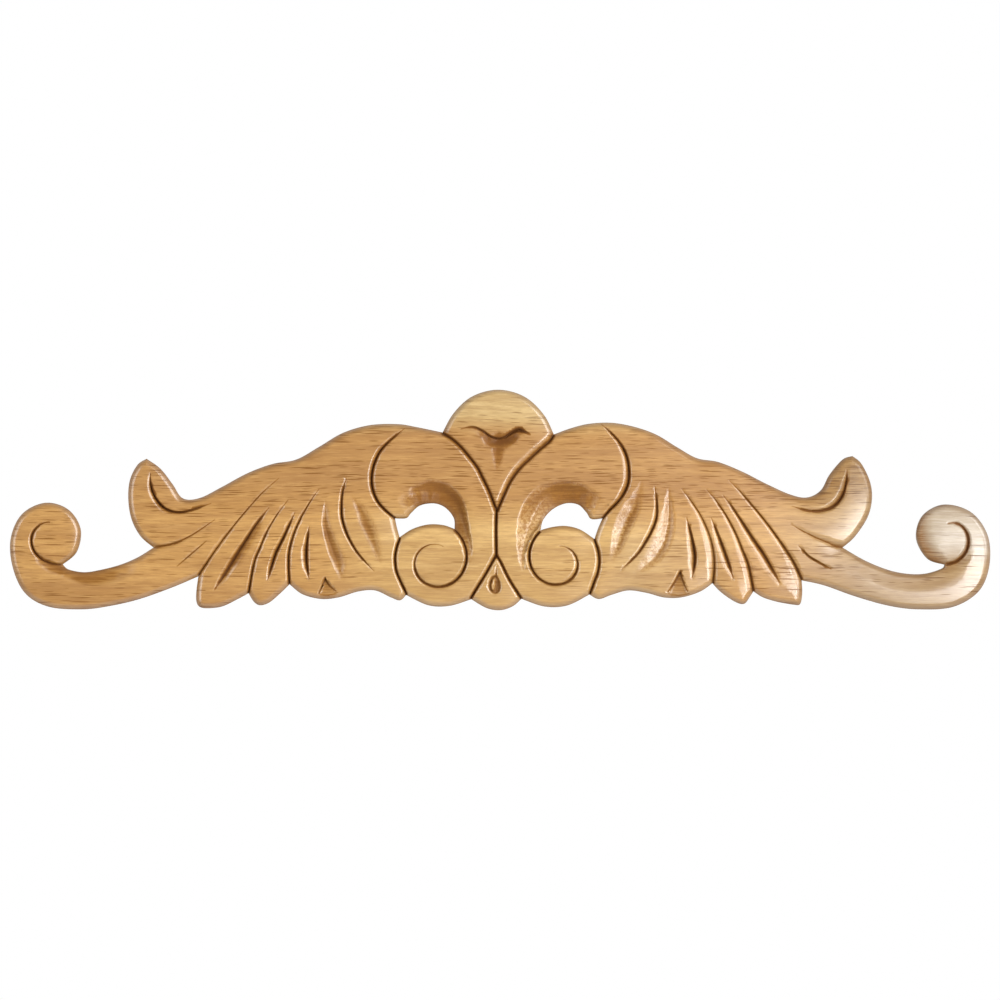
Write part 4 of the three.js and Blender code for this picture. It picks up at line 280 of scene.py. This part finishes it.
   "depth": [0.1, 0.8, 1.2, 1.2, 0.4], "left": [2.4, 3.6, 4.2, 4.0, 3.0], "right": [1.0, 1.4, 1.6, 1.6, 1.4], "shape_left": [2, 2], "shape_right": [2, 2], "dark": [0.8]},
]

# ---------------------------------------------------------------- curves
def spline_path(stations, per_span):
    p = np.asarray(stations, float)
    out = []
    for i in range(len(p) - 1):
        a, b, c, d = p[max(i - 1, 0)], p[i], p[i + 1], p[min(i + 2, len(p) - 1)]
        t = np.linspace(0.0, 1.0, per_span, endpoint=False)[:, None]
        v0, v1 = (c - a) * 0.5, (d - b) * 0.5
        out.append((2 * b - 2 * c + v0 + v1) * t ** 3 + (-3 * b + 3 * c - 2 * v0 - v1) * t ** 2 + v0 * t + b)
    out.append(p[-1:])
    return np.vstack(out)


def spiral_path(cx, cz, r0, r1, bow, a0, a1, step=2.5):
    n = math.ceil(abs(a1 - a0) / step)
    u = np.linspace(0.0, 1.0, n + 1)
    a = np.radians(a0 + (a1 - a0) * u)
    r = r0 + (r1 - r0) * u + bow * u * (1 - u)
    return np.column_stack([cx + r * np.cos(a), cz + r * np.sin(a)])


def cut_path(path):
    return spiral_path(*path[1:]) if path[0] == "spiral" else spline_path(path, 18)


def along(stations, t):
    s = np.asarray(stations, float)
    if len(s) == 1:
        return np.full_like(t, s[0])
    f = np.clip(t, 0, 1) * (len(s) - 1)
    i = np.minimum(f.astype(int), len(s) - 2)
    u = f - i
    return s[i] + (s[i + 1] - s[i]) * u * u * (3 - 2 * u)


def lengths(p):
    return np.concatenate([[0.0], np.cumsum(np.hypot(*np.diff(p, axis=0).T))])


def resample(p, step):
    s = lengths(p)
    n = max(2, int(round(s[-1] / step)))
    t = np.linspace(0, s[-1], n + 1)
    return np.column_stack([np.interp(t, s, p[:, 0]), np.interp(t, s, p[:, 1])])


def nearest(p, q):
    """distance from each point q to the chain p, its side (+1 left) and the part of the length"""
    a, d = p[:-1], np.diff(p, axis=0)
    ll = np.maximum((d ** 2).sum(1), 1e-12)
    s = lengths(p)
    dist = np.empty(len(q))
    side = np.empty(len(q))
    part = np.empty(len(q))
    for k in range(0, len(q), 4000):
        w = q[k:k + 4000, None, :] - a[None]
        u = np.clip((w * d[None]).sum(2) / ll, 0, 1)
        e = w - u[..., None] * d[None]
        dd = (e ** 2).sum(2)
        j = dd.argmin(1)
        r = np.arange(len(j))
        dist[k:k + 4000] = np.sqrt(dd[r, j])
        e = e[r, j]
        side[k:k + 4000] = np.where(d[j, 0] * e[:, 1] - d[j, 1] * e[:, 0] >= 0, 1.0, -1.0)
        part[k:k + 4000] = (s[j] + u[r, j] * np.sqrt(ll[j])) / s[-1]
    return dist, side, part


# ---------------------------------------------------------------- outline
def area(ring):
    x, z = ring[:, 0], ring[:, 1]
    return 0.5 * (np.dot(x, np.roll(z, -1)) - np.dot(z, np.roll(x, -1)))


def loop_of(runs, ccw):
    ring = np.vstack([resample(spline_path(st, 24), OUTLINE_STEP)[:-1] for _, st in runs])
    fine = np.vstack([resample(spline_path(st, 40), 0.06)[:-1] for _, st in runs])
    if (area(ring) > 0) != ccw:
        ring, fine = ring[::-1], fine[::-1]
    return ring, fine


LOOPS = [loop_of(OUTER, True), loop_of(EYE_LEFT, False), loop_of(EYE_RIGHT, False)]


def tree_of(points):
    t = kdtree.KDTree(len(points))
    for i, (x, z) in enumerate(points):
        t.insert((x, z, 0.0), i)
    t.balance()
    return t


edge_tree = tree_of(np.vstack([f for _, f in LOOPS]))


def edge_distance(q):
    return np.array([edge_tree.find((x, z, 0.0))[2] for x, z in q])


def inside(q):
    hit = np.zeros(len(q), bool)
    for ring, _ in LOOPS:
        a, b = ring, np.roll(ring, -1, axis=0)
        for k in range(0, len(q), 4000):
            x, z = q[k:k + 4000, 0:1], q[k:k + 4000, 1:2]
            span = (a[:, 1] > z) != (b[:, 1] > z)
            dz = np.where(b[:, 1] == a[:, 1], 1e-9, b[:, 1] - a[:, 1])
            cross = x < (b[:, 0] - a[:, 0]) * (z - a[:, 1]) / dz + a[:, 0]
            hit[k:k + 4000] ^= (span & cross).sum(1) % 2 == 1
    return hit


# ---------------------------------------------------------------- carving
PATHS = [cut_path(c["path"]) for c in CUTS]


def carve(q):
    """fall of the face below the full thickness, how much stain and painted shade the wood takes there, the way to the
    edge, and where the cut stays dull
    """
    line = np.zeros(len(q))
    hollow = np.zeros(len(q))
    stain_and_shade = np.zeros(len(q))
    matte = np.zeros(len(q))
    for c, p in zip(CUTS, PATHS):
        reach = max(c["left"] + c["right"])
        m = np.where((q[:, 0] > p[:, 0].min() - reach) & (q[:, 0] < p[:, 0].max() + reach)
                     & (q[:, 1] > p[:, 1].min() - reach) & (q[:, 1] < p[:, 1].max() + reach))[0]
        if not len(m):
            continue
        dist, side, part = nearest(p, q[m])
        left = side > 0
        w = np.where(left, along(c["left"], part), along(c["right"], part))
        s = np.minimum(dist / w, 1.0)
        sq = np.where(left, c["shape_left"][0], c["shape_right"][0])
        sp = np.where(left, c["shape_left"][1], c["shape_right"][1])
        full = along(c["depth"], part)
        dark = along(c["dark"], part)
        d = full * (1 - s ** sq) ** sp
        if c["kind"] != "line":
            hollow[m] += d ** MEET
            # stain and painted shade in hollows, stronger where the floor falls deeper, and on a cove's steep bank
            hollow_stain_and_shade = 0.30 * dark * np.clip(d / 1.8, 0, 1) ** 0.8
            if c["kind"] == "cove":
                bank = np.clip((s - 0.2) / 0.2, 0, 1) * np.clip((1 - s) / 0.5, 0, 1)
                hollow_stain_and_shade = np.where(sp > 1, dark * (0.30 * np.clip(d / 2.4, 0, 1) ** 1.1 + 0.10 * bank * np.clip(full / 2.0, 0, 1)), hollow_stain_and_shade)
            # the flank that faces the key light keeps only a third of the stain and painted shade, so the shaded flank
            # stays darker
            if c.get("lit_side"):
                hollow_stain_and_shade = np.where(side == c["lit_side"], 0.35 * hollow_stain_and_shade, hollow_stain_and_shade)
            stain_and_shade[m] = np.maximum(stain_and_shade[m], hollow_stain_and_shade)
            matte[m] = np.maximum(matte[m], c.get("matte", 0) * np.clip(8 * d / max(c["depth"]), 0, 1))
        else:
            line[m] += d ** MEET
            # a near-black core along the bottom of a line and a softer brown on its flanks, stain and painted shade
            # together
            half = (0.20 + 0.15 * full) * dark
            core = np.clip((1.35 * half - dist) / (0.90 * half), 0, 1) * np.clip(full / 1.1, 0, 1) ** 0.7
            core *= np.clip(0.2 + 0.8 * dark, 0, 1) * (0.60 if c.get("blur") else 1.0)
            soft = 0.36 * dark * np.clip((d - 0.25) / 1.4, 0, 1)
            stain_and_shade[m] = np.maximum(stain_and_shade[m], np.maximum(core, soft))
    e = edge_distance(q)
    inner = np.clip(1 - e / EDGE_ROUND, 0, 1)
    rounding = EDGE_ROUND * (ARRIS * inner + (1 - ARRIS) * (1 - np.sqrt(1 - inner ** 2)))
    pillow = PILLOW * np.clip(1 - e / PILLOW_REACH, 0, 1) ** 2
    cut = (line ** (BLEND / MEET) + hollow ** (BLEND / MEET) + rounding ** BLEND) ** (1 / BLEND)
    return np.minimum(cut + pillow, DEEPEST), stain_and_shade, e, matte


# ---------------------------------------------------------------- points of the face
class Sieve:
    """keeps points that are no nearer to an earlier one than the gap asked for"""

    def __init__(self, cell):
        self.cell, self.grid, self.points = cell, {}, []

    def add(self, x, z, gap, force=False):
        i, j = int(math.floor(x / self.cell)), int(math.floor(z / self.cell))
        if not force:
            g2 = gap * gap
            for a in (i - 1, i, i + 1):
                for b in (j - 1, j, j + 1):
                    for (px, pz) in self.grid.get((a, b), ()):
                        if (px - x) ** 2 + (pz - z) ** 2 < g2:
                            return False
        self.grid.setdefault((i, j), []).append((x, z))
        self.points.append((x, z))
        return True


def normals(p, closed):
    if closed:
        t = np.roll(p, -1, axis=0) - np.roll(p, 1, axis=0)
    else:
        t = np.gradient(p, axis=0)
    t /= np.maximum(np.hypot(*t.T)[:, None], 1e-9)
    return np.column_stack([-t[:, 1], t[:, 0]])


def face_points():
    sieve = Sieve(0.8)
    for ring, _ in LOOPS:
        for x, z in ring:
            sieve.add(x, z, 0, True)
    n_edge = len(sieve.points)

    def offer(q, gap, from_edge):
        ok = inside(q)
        q = q[ok]
        if not len(q):
            return
        e = edge_distance(q)
        for (x, z), d in zip(q, e):
            if d >= from_edge:
                sieve.add(x, z, gap)

    for c, p in zip(CUTS, PATHS):
        if c["kind"] == "line":
            offer(resample(p, CUT_STEP), 0.3, 0.1)
    for r in EDGE_ROWS:
        for ring, _ in LOOPS:
            offer(ring + normals(ring, True) * r, 0.10 if r < 0.2 else 0.16 if r < 0.5 else 0.34, r * 0.9)
    for kinds, rows in (("line",), FLANK_ROWS[1:]), (("hollow", "cove"), HOLLOW_ROWS):
        for f in rows:
            for c, p in zip(CUTS, PATHS):
                if c["kind"] not in kinds:
                    continue
                q = resample(p, CUT_STEP)
                nrm = normals(q, False)
                part = lengths(q) / lengths(q)[-1]
                for sgn, key in ((1, "left"), (-1, "right")):
                    w = along(c[key], part)[:, None]
                    offer(q + sgn * nrm * w * f, 0.2 if f < 0.2 else 0.3 if f < 0.6 else 0.38, 0.15)
    lo, hi = LOOPS[0][0].min(0), LOOPS[0][0].max(0)
    rows = np.arange(lo[1], hi[1], FIELD_STEP * 0.866)
    field = []
    for k, z in enumerate(rows):
        xs = np.arange(lo[0] + (k % 2) * FIELD_STEP * 0.5, hi[0], FIELD_STEP)
        field.append(np.column_stack([xs, np.full(len(xs), z)]))
    offer(np.vstack(field), 0.56, 0.4)
    return np.array(sieve.points), n_edge


def face_normals(pts):
    """outward normals of the carved face, from the slope of the carving itself"""
    h = 0.035
    fx = carve(pts + (h, 0.0))[0] - carve(pts - (h, 0.0))[0]
    fz = carve(pts + (0.0, h))[0] - carve(pts - (0.0, h))[0]
    n = np.column_stack([fx / (2 * h), -np.ones(len(pts)), fz / (2 * h)])
    return n / np.linalg.norm(n, axis=1)[:, None]


def build_mesh():
    pts, n_edge = face_points()
    edges, at = [], 0
    rings = []
    for ring, _ in LOOPS:
        n = len(ring)
        rings.append(list(range(at, at + n)))
        edges += [(at + i, at + (i + 1) % n) for i in range(n)]
        at += n
    out = geometry.delaunay_2d_cdt([Vector((float(x), float(z))) for x, z in pts], edges, [], 0, 1e-7, True)
    verts, _, faces, orig = out[0], out[1], out[2], out[3]
    back_to = np.full(len(verts), -1)
    for i, o in enumerate(orig):
        if o:
            back_to[i] = o[0]
    assert (back_to >= 0).all()
    tris = back_to[np.array(faces)]
    a, b, c = pts[tris[:, 0]], pts[tris[:, 1]], pts[tris[:, 2]]
    sign = (b[:, 0] - a[:, 0]) * (c[:, 1] - a[:, 1]) - (b[:, 1] - a[:, 1]) * (c[:, 0] - a[:, 0])
    flip = sign < 0
    tris[flip] = tris[flip][:, ::-1]
    rim = (tris < n_edge).all(1)
    keep = ~rim
    keep[rim] = inside(pts[tris[rim]].mean(1))
    keep &= np.abs(sign) > 1e-9
    tris = tris[keep]

    fall, stain_and_shade, e, matte = carve(pts)
    front = np.column_stack([pts[:, 0], -(THICKNESS - fall), pts[:, 1]])
    back = np.column_stack([pts[:n_edge, 0], np.zeros(n_edge), pts[:n_edge, 1]])
    n = len(pts)
    polys = [tuple(t) for t in tris]
    back_edges = set()
    for ring in rings:
        for s, t in zip(ring, ring[1:] + ring[:1]):
            polys.append((t, s, n + s, n + t))
            back_edges.add((min(n + s, n + t), max(n + s, n + t)))
    cap = geometry.delaunay_2d_cdt([Vector((float(x), float(z))) for x, z in pts[:n_edge]], edges, [], 0, 1e-7, True)
    cap_to = [o[0] for o in cap[3]]
    ct = np.array([[cap_to[i] for i in f] for f in cap[2]])
    ct = ct[inside(pts[ct].mean(1))]
    a, b, c = pts[ct[:, 0]], pts[ct[:, 1]], pts[ct[:, 2]]
    sg = (b[:, 0] - a[:, 0]) * (c[:, 1] - a[:, 1]) - (b[:, 1] - a[:, 1]) * (c[:, 0] - a[:, 0])
    ct[sg > 0] = ct[sg > 0][:, ::-1]
    polys += [tuple(int(i) + n for i in t) for t in ct]

    mesh = bpy.data.meshes.new("onlay_face")
    co = np.vstack([front, back]) * 0.001
    mesh.from_pydata(co.tolist(), [], polys)
    assert not mesh.validate()
    mesh.polygons.foreach_set("use_smooth", [True] * len(mesh.polygons))
    sharp = mesh.attributes.new("sharp_edge", "BOOLEAN", "EDGE")
    sharp.data.foreach_set("value", [tuple(sorted(ed.vertices)) in back_edges for ed in mesh.edges])
    for name, values in (("stain_and_shade", np.concatenate([stain_and_shade, np.zeros(n_edge)])),
                         ("matte", np.concatenate([matte, np.zeros(n_edge)])),
                         ("rim", np.concatenate([np.clip(1.1 - e / 2.3, 0, 1), np.ones(n_edge)]))):
        at = mesh.attributes.new(name, "FLOAT", "POINT")
        at.data.foreach_set("value", values.astype(np.float32))
    mesh.update()

    # corner normals: the carving's own slope on the face, square to the outline on the walls
    wall = np.vstack([-normals(ring, True) for ring, _ in LOOPS])
    wall = np.column_stack([wall[:, 0], np.zeros(n_edge), wall[:, 1]])
    face = face_normals(pts)
    face[:n_edge] = wall
    corner = np.empty(len(mesh.loops), np.int64)
    mesh.loops.foreach_get("vertex_index", corner)
    sides = 3 * len(tris)
    n_walls = 4 * n_edge
    table = np.empty((len(corner), 3))
    table[:sides] = face[corner[:sides]]
    table[sides:sides + n_walls] = wall[corner[sides:sides + n_walls] % n]
    table[sides + n_walls:] = (0.0, 1.0, 0.0)
    mesh.normals_split_custom_set(table.tolist())
    return mesh


# ---------------------------------------------------------------- wood
class Tree:
    """small helper to wire a material"""

    def __init__(self, material):
        material.use_nodes = True
        self.t = material.node_tree
        self.t.nodes.clear()

    def node(self, kind, inputs=None, **props):
        n = self.t.nodes.new(kind)
        for k, v in props.items():
            setattr(n, k, v)
        for k, v in (inputs or {}).items():
            if isinstance(v, bpy.types.NodeSocket):
                self.t.links.new(v, n.inputs[k])
            else:
                n.inputs[k].default_value = v
        return n

    def math(self, op, a, b=0.0, c=0.0, clamp=False):
        n = self.node("ShaderNodeMath", operation=op, use_clamp=clamp)
        for i, v in enumerate((a, b, c)):
            if isinstance(v, bpy.types.NodeSocket):
                self.t.links.new(v, n.inputs[i])
            else:
                n.inputs[i].default_value = v
        return n.outputs[0]

    def ramp(self, value, low, high, to_low=0.0, to_high=1.0, smooth=True):
        n = self.node("ShaderNodeMapRange", {"Value": value, "From Min": low, "From Max": high, "To Min": to_low, "To Max": to_high},
                      interpolation_type="SMOOTHSTEP" if smooth else "LINEAR")
        return n.outputs["Result"]

    def mix(self, factor, a, b, mode="MIX"):
        n = self.node("ShaderNodeMix", data_type="RGBA", blend_type=mode)
        for key, v in (("Factor", factor), ("A", a), ("B", b)):
            sock = next(s for s in n.inputs if s.name == key and s.enabled)
            if isinstance(v, bpy.types.NodeSocket):
                self.t.links.new(v, sock)
            elif key == "Factor":
                sock.default_value = v
            else:
                sock.default_value = (*v, 1.0)
        return next(s for s in n.outputs if s.enabled)


def wood_material():
    m = bpy.data.materials.new("wood_satin")
    t = Tree(m)
    place = t.node("ShaderNodeTexCoord").outputs["Object"]
    # slow wander of the grain
    drift = t.node("ShaderNodeTexNoise", {"Vector": place, "Scale": 9.0, "Detail": 2.0, "Roughness": 0.5})
    wander = t.node("ShaderNodeVectorMath", {0: drift.outputs["Color"], 1: (0.5, 0.5, 0.5)}, operation="SUBTRACT").outputs[0]
    wander = t.node("ShaderNodeVectorMath", {0: wander, 1: (0.0, 0.0, 0.006)}, operation="MULTIPLY").outputs[0]
    place = t.node("ShaderNodeVectorMath", {0: place, 1: wander}, operation="ADD").outputs[0]

    def stretched(sx, sz, **noise):
        v = t.node("ShaderNodeVectorMath", {0: place, 1: (sx, 60.0, sz)}, operation="MULTIPLY").outputs[0]
        return t.node("ShaderNodeTexNoise", {"Vector": v, "Scale": 1.0, "Roughness": 0.55, **noise}).outputs["Fac"]

    bands = stretched(2.4, 62.0, Detail=3.0)
    cloud = stretched(22.0, 260.0, Detail=3.0)
    streaks = stretched(95.0, 1700.0, Detail=3.0)
    fibre = stretched(300.0, 4200.0, Detail=2.0)

    # darker in a belt above the middle and along its foot, paler round the centre; the crest is made paler as painted
    # sheen
    spot = t.node("ShaderNodeSeparateXYZ", {0: place})
    across, height_on_board = spot.outputs[0], spot.outputs[2]

    def belt(low, high, soft):
        return t.math("MULTIPLY", t.ramp(height_on_board, low - soft, low + soft), t.ramp(height_on_board, high - soft, high + soft, 1.0, 0.0))

    upper = belt(0.004, 0.033, 0.006)
    foot = belt(-0.060, -0.036, 0.005)
    middle = t.math("MULTIPLY", belt(-0.056, -0.006, 0.010), t.ramp(t.math("ABSOLUTE", across), 0.040, 0.095, 1.0, 0.0))
    crest_painted_sheen = t.ramp(height_on_board, 0.028, 0.040)
    right_end_painted_glare = t.ramp(across, 0.110, 0.180)

    # pores: thin dark hairs along the grain, thicker on the ground in some bands
    local = t.math("ADD", t.math("MULTIPLY", t.math("SUBTRACT", bands, 0.5), 0.34), t.math("MULTIPLY", t.math("SUBTRACT", upper, middle), 0.040))

    def dashes(sx, sy, sz, thin, thick, share):
        v = t.node("ShaderNodeVectorMath", {0: place, 1: (sx, sy, sz)}, operation="MULTIPLY").outputs[0]
        cell = t.node("ShaderNodeTexVoronoi", {"Vector": v, "Scale": 1.0}, feature="F1")
        lot = t.node("ShaderNodeSeparateColor", {"Color": cell.outputs["Color"]}).outputs[0]
        there = t.ramp(t.math("ADD", lot, t.math("MULTIPLY", local, 6.0)), 0.98 - share, 1.12 - share)
        return t.math("MULTIPLY", t.ramp(cell.outputs["Distance"], thin, thick, 1.0, 0.0), there)

    hairs = dashes(58.0, 70.0, 1350.0, 0.20, 0.40, 0.36)
    ticks = dashes(125.0, 90.0, 1650.0, 0.20, 0.42, 0.36)
    pores = t.math("MAXIMUM", hairs, t.math("MULTIPLY", ticks, 0.75))


    light, mid, dark = (0.570, 0.310, 0.087), (0.452, 0.226, 0.053), (0.290, 0.124, 0.025)
    colour = t.mix(t.ramp(bands, 0.34, 0.66), light, mid)
    belts = t.math("MAXIMUM", t.math("MULTIPLY", upper, 0.42), t.math("MULTIPLY", foot, 0.36))
    colour = t.mix(belts, colour, dark)
    colour = t.mix(t.math("MULTIPLY", t.ramp(cloud, 0.42, 0.68), 0.44), colour, dark)
    colour = t.mix(t.math("MULTIPLY", t.ramp(streaks, 0.42, 0.70), 0.40), colour, dark)
    colour = t.mix(t.math("MULTIPLY", t.ramp(streaks, 0.28, 0.50, 1.0, 0.0), 0.26), colour, (0.660, 0.400, 0.145))
    colour = t.mix(t.math("MULTIPLY", t.ramp(fibre, 0.42, 0.72), 0.34), colour, dark)
    colour = t.mix(t.math("MULTIPLY", pores, 0.72), colour, (0.142, 0.052, 0.012))
    colour = t.mix(middle, colour, (1.10, 1.26, 1.56), "MULTIPLY")
    # painted sheen: the crest is made paler and whiter
    colour = t.mix(crest_painted_sheen, colour, (1.04, 1.31, 1.95), "MULTIPLY")
    # painted glare: the right end of the board is made paler and whiter, as where the lacquer mirrors the light
    colour = t.mix(right_end_painted_glare, colour, (0.76, 0.93, 1.55), "MULTIPLY")
    # painted sheen: the right leaves are made paler and whiter
    right_leaf_painted_sheen = t.math("MULTIPLY", t.math("MULTIPLY", t.ramp(across, 0.044, 0.066), t.ramp(across, 0.092, 0.122, 1.0, 0.0)), belt(-0.056, -0.016, 0.010))
    colour = t.mix(right_leaf_painted_sheen, colour, (0.99, 1.08, 1.34), "MULTIPLY")
    # painted glare on the flat of the right end disc
    end_disc_painted_glare = t.math("MULTIPLY", t.ramp(across, 0.184, 0.204), t.ramp(height_on_board, -0.031, -0.020))
    colour = t.mix(end_disc_painted_glare, colour, (1.04, 1.26, 1.92), "MULTIPLY")
    stain_and_shade = t.node("ShaderNodeAttribute", attribute_name="stain_and_shade").outputs["Fac"]
    # the tool left the floors of the hollows rough
    matte = t.node("ShaderNodeAttribute", attribute_name="matte").outputs["Fac"]
    chatter = t.node("ShaderNodeTexNoise", {"Vector": place, "Scale": 820.0, "Detail": 3.0, "Roughness": 0.6}).outputs["Fac"]
    speckle = t.ramp(chatter, 0.42, 0.60)
    colour = t.mix(t.math("MULTIPLY", speckle, t.math("MULTIPLY", matte, 0.62)), colour, (0.300, 0.135, 0.042))
    # end grain opens where the tool went deep
    opened = t.math("MULTIPLY", t.ramp(stain_and_shade, 0.06, 0.30), t.ramp(streaks, 0.42, 0.60))
    colour = t.mix(t.math("MULTIPLY", opened, 0.55), colour, (0.150, 0.058, 0.013))
    # stain and painted shade in the cuts: brown on flanks and in hollows, near-black in the line cores
    colour = t.mix(t.ramp(stain_and_shade, 0.0, 0.45, 0.0, 0.80, smooth=False), colour, (0.200, 0.078, 0.017))
    colour = t.mix(t.ramp(stain_and_shade, 0.42, 0.95, 0.0, 0.95, smooth=False), colour, (0.128, 0.048, 0.013))
    rim = t.node("ShaderNodeAttribute", attribute_name="rim").outputs["Fac"]
    # painted shade on the rounded edges along the outline, with some stain
    colour = t.mix(t.math("MULTIPLY", rim, 0.55), colour, (0.200, 0.105, 0.050))

    height = t.math("SUBTRACT", t.math("MULTIPLY", fibre, 0.25), pores)
    height = t.math("ADD", height, t.math("MULTIPLY", t.math("MULTIPLY", chatter, matte), 6.0))
    bump = t.node("ShaderNodeBump", {"Strength": 0.25, "Distance": 0.00010, "Height": height})
    worn = t.math("MAXIMUM", t.math("MULTIPLY", pores, 0.75), t.ramp(stain_and_shade, 0.02, 0.28, 0.0, 0.92))
    worn = t.math("MAXIMUM", worn, t.math("MULTIPLY", matte, t.math("ADD", t.math("MULTIPLY", speckle, 0.50), 0.32)))
    worn = t.math("MAXIMUM", worn, t.math("MULTIPLY", t.math("MULTIPLY", t.ramp(height_on_board, -0.016, 0.012), t.ramp(across, 0.125, 0.150)), 0.60))
    # the sawn walls of the board take little lacquer
    worn = t.math("MAXIMUM", worn, t.ramp(rim, 0.90, 1.0, 0.0, 0.85))
    gloss = t.math("SUBTRACT", 1.0, worn)
    shader = t.node("ShaderNodeBsdfPrincipled", {
        "Base Color": colour, "Normal": bump.outputs[0],
        "Roughness": 0.45, "Specular IOR Level": t.math("MULTIPLY", gloss, 0.35), "IOR": 1.5,
        "Coat Weight": gloss, "Coat Roughness": 0.29, "Coat IOR": 1.7,
    })
    t.node("ShaderNodeOutputMaterial", {"Surface": shader.outputs[0]})
    return m


mesh = build_mesh()
onlay = bpy.data.objects.new("onlay_carved", mesh)
bpy.context.scene.collection.objects.link(onlay)
mesh.materials.append(wood_material())
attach(onlay, "root")
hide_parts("onlay")

# ---------------------------------------------------------------- stage and light
def plain(name, colour, roughness):
    m = bpy.data.materials.new(name)
    t = Tree(m)
    s = t.node("ShaderNodeBsdfPrincipled", {"Base Color": (*colour, 1.0), "Roughness": roughness})
    t.node("ShaderNodeOutputMaterial", {"Surface": s.outputs[0]})
    return m


def quad(name, half, z, material):
    me = bpy.data.meshes.new(name)
    me.from_pydata([(-half, -half, z), (half, -half, z), (half, half, z), (-half, half, z)], [], [(0, 1, 2, 3)])
    ob = bpy.data.objects.new(name, me)
    bpy.context.scene.collection.objects.link(ob)
    me.materials.append(material)
    return ob


floor = quad("floor", 1.6, -1.25, plain("floor_pale", (0.86, 0.86, 0.85), 0.8))


def softbox(name, place, target, width, height, watts, tint=(1.0, 1.0, 1.0)):
    li = bpy.data.lights.new(name, "AREA")
    li.shape, li.size, li.size_y, li.energy, li.color = "RECTANGLE", width, height, watts, tint
    ob = bpy.data.objects.new(name, li)
    ob.location = place
    ob.rotation_euler = (Vector(target) - Vector(place)).to_track_quat("-Z", "Y").to_euler()
    bpy.context.scene.collection.objects.link(ob)
    return ob


softbox("key_right", (3.00, -2.55, 1.20), (0.0, 0.0, 0.0), 2.8, 3.0, 170.0)
softbox("gloss_right", (0.335, -0.66, -0.090), (0.13, 0.0, 0.0), 0.15, 0.18, 2.05)
softbox("fill_left", (-1.50, -1.05, 0.25), (0.0, 0.0, 0.0), 1.2, 1.3, 19.0)

# white ground: full white behind the board, a dimmer room in front of it
world = bpy.data.worlds.new("white_ground")
bpy.context.scene.world = world
w = Tree(world)
toward = w.node("ShaderNodeSeparateXYZ", {0: w.node("ShaderNodeTexCoord").outputs["Generated"]}).outputs[1]
room = w.ramp(toward, -0.15, 0.30, 0.22, 0.85)
seen = w.node("ShaderNodeBackground", {"Color": (1.0, 1.0, 1.0, 1.0), "Strength": 1.0})
felt = w.node("ShaderNodeBackground", {"Color": (1.0, 0.99, 0.98, 1.0), "Strength": room})
ray = w.node("ShaderNodeLightPath").outputs["Is Camera Ray"]
both = w.node("ShaderNodeMixShader", {0: ray, 1: felt.outputs[0], 2: seen.outputs[0]})
w.node("ShaderNodeOutputWorld", {"Surface": both.outputs[0]})

scene = bpy.context.scene
scene.view_settings.view_transform = "Standard"
scene.view_settings.look = "None"

# ---------------------------------------------------------------- camera, square to the face
FRAME_WIDTH = 0.457200 / 0.9802      # width of the picture at the outline's own plane
PLANE = -0.0072                      # where the outline turns, in y
cam = bpy.data.cameras.new("camera")
cam.sensor_fit = "HORIZONTAL"
cam.sensor_width = 36.0
cam.lens = 500.0
cam.clip_start, cam.clip_end = 0.05, 20.0
eye = bpy.data.objects.new("camera", cam)
eye.location = (0.0, PLANE - FRAME_WIDTH * cam.lens / cam.sensor_width, 0.0)
eye.rotation_euler = (math.pi / 2, 0.0, 0.0)
scene.collection.objects.link(eye)
scene.camera = eye
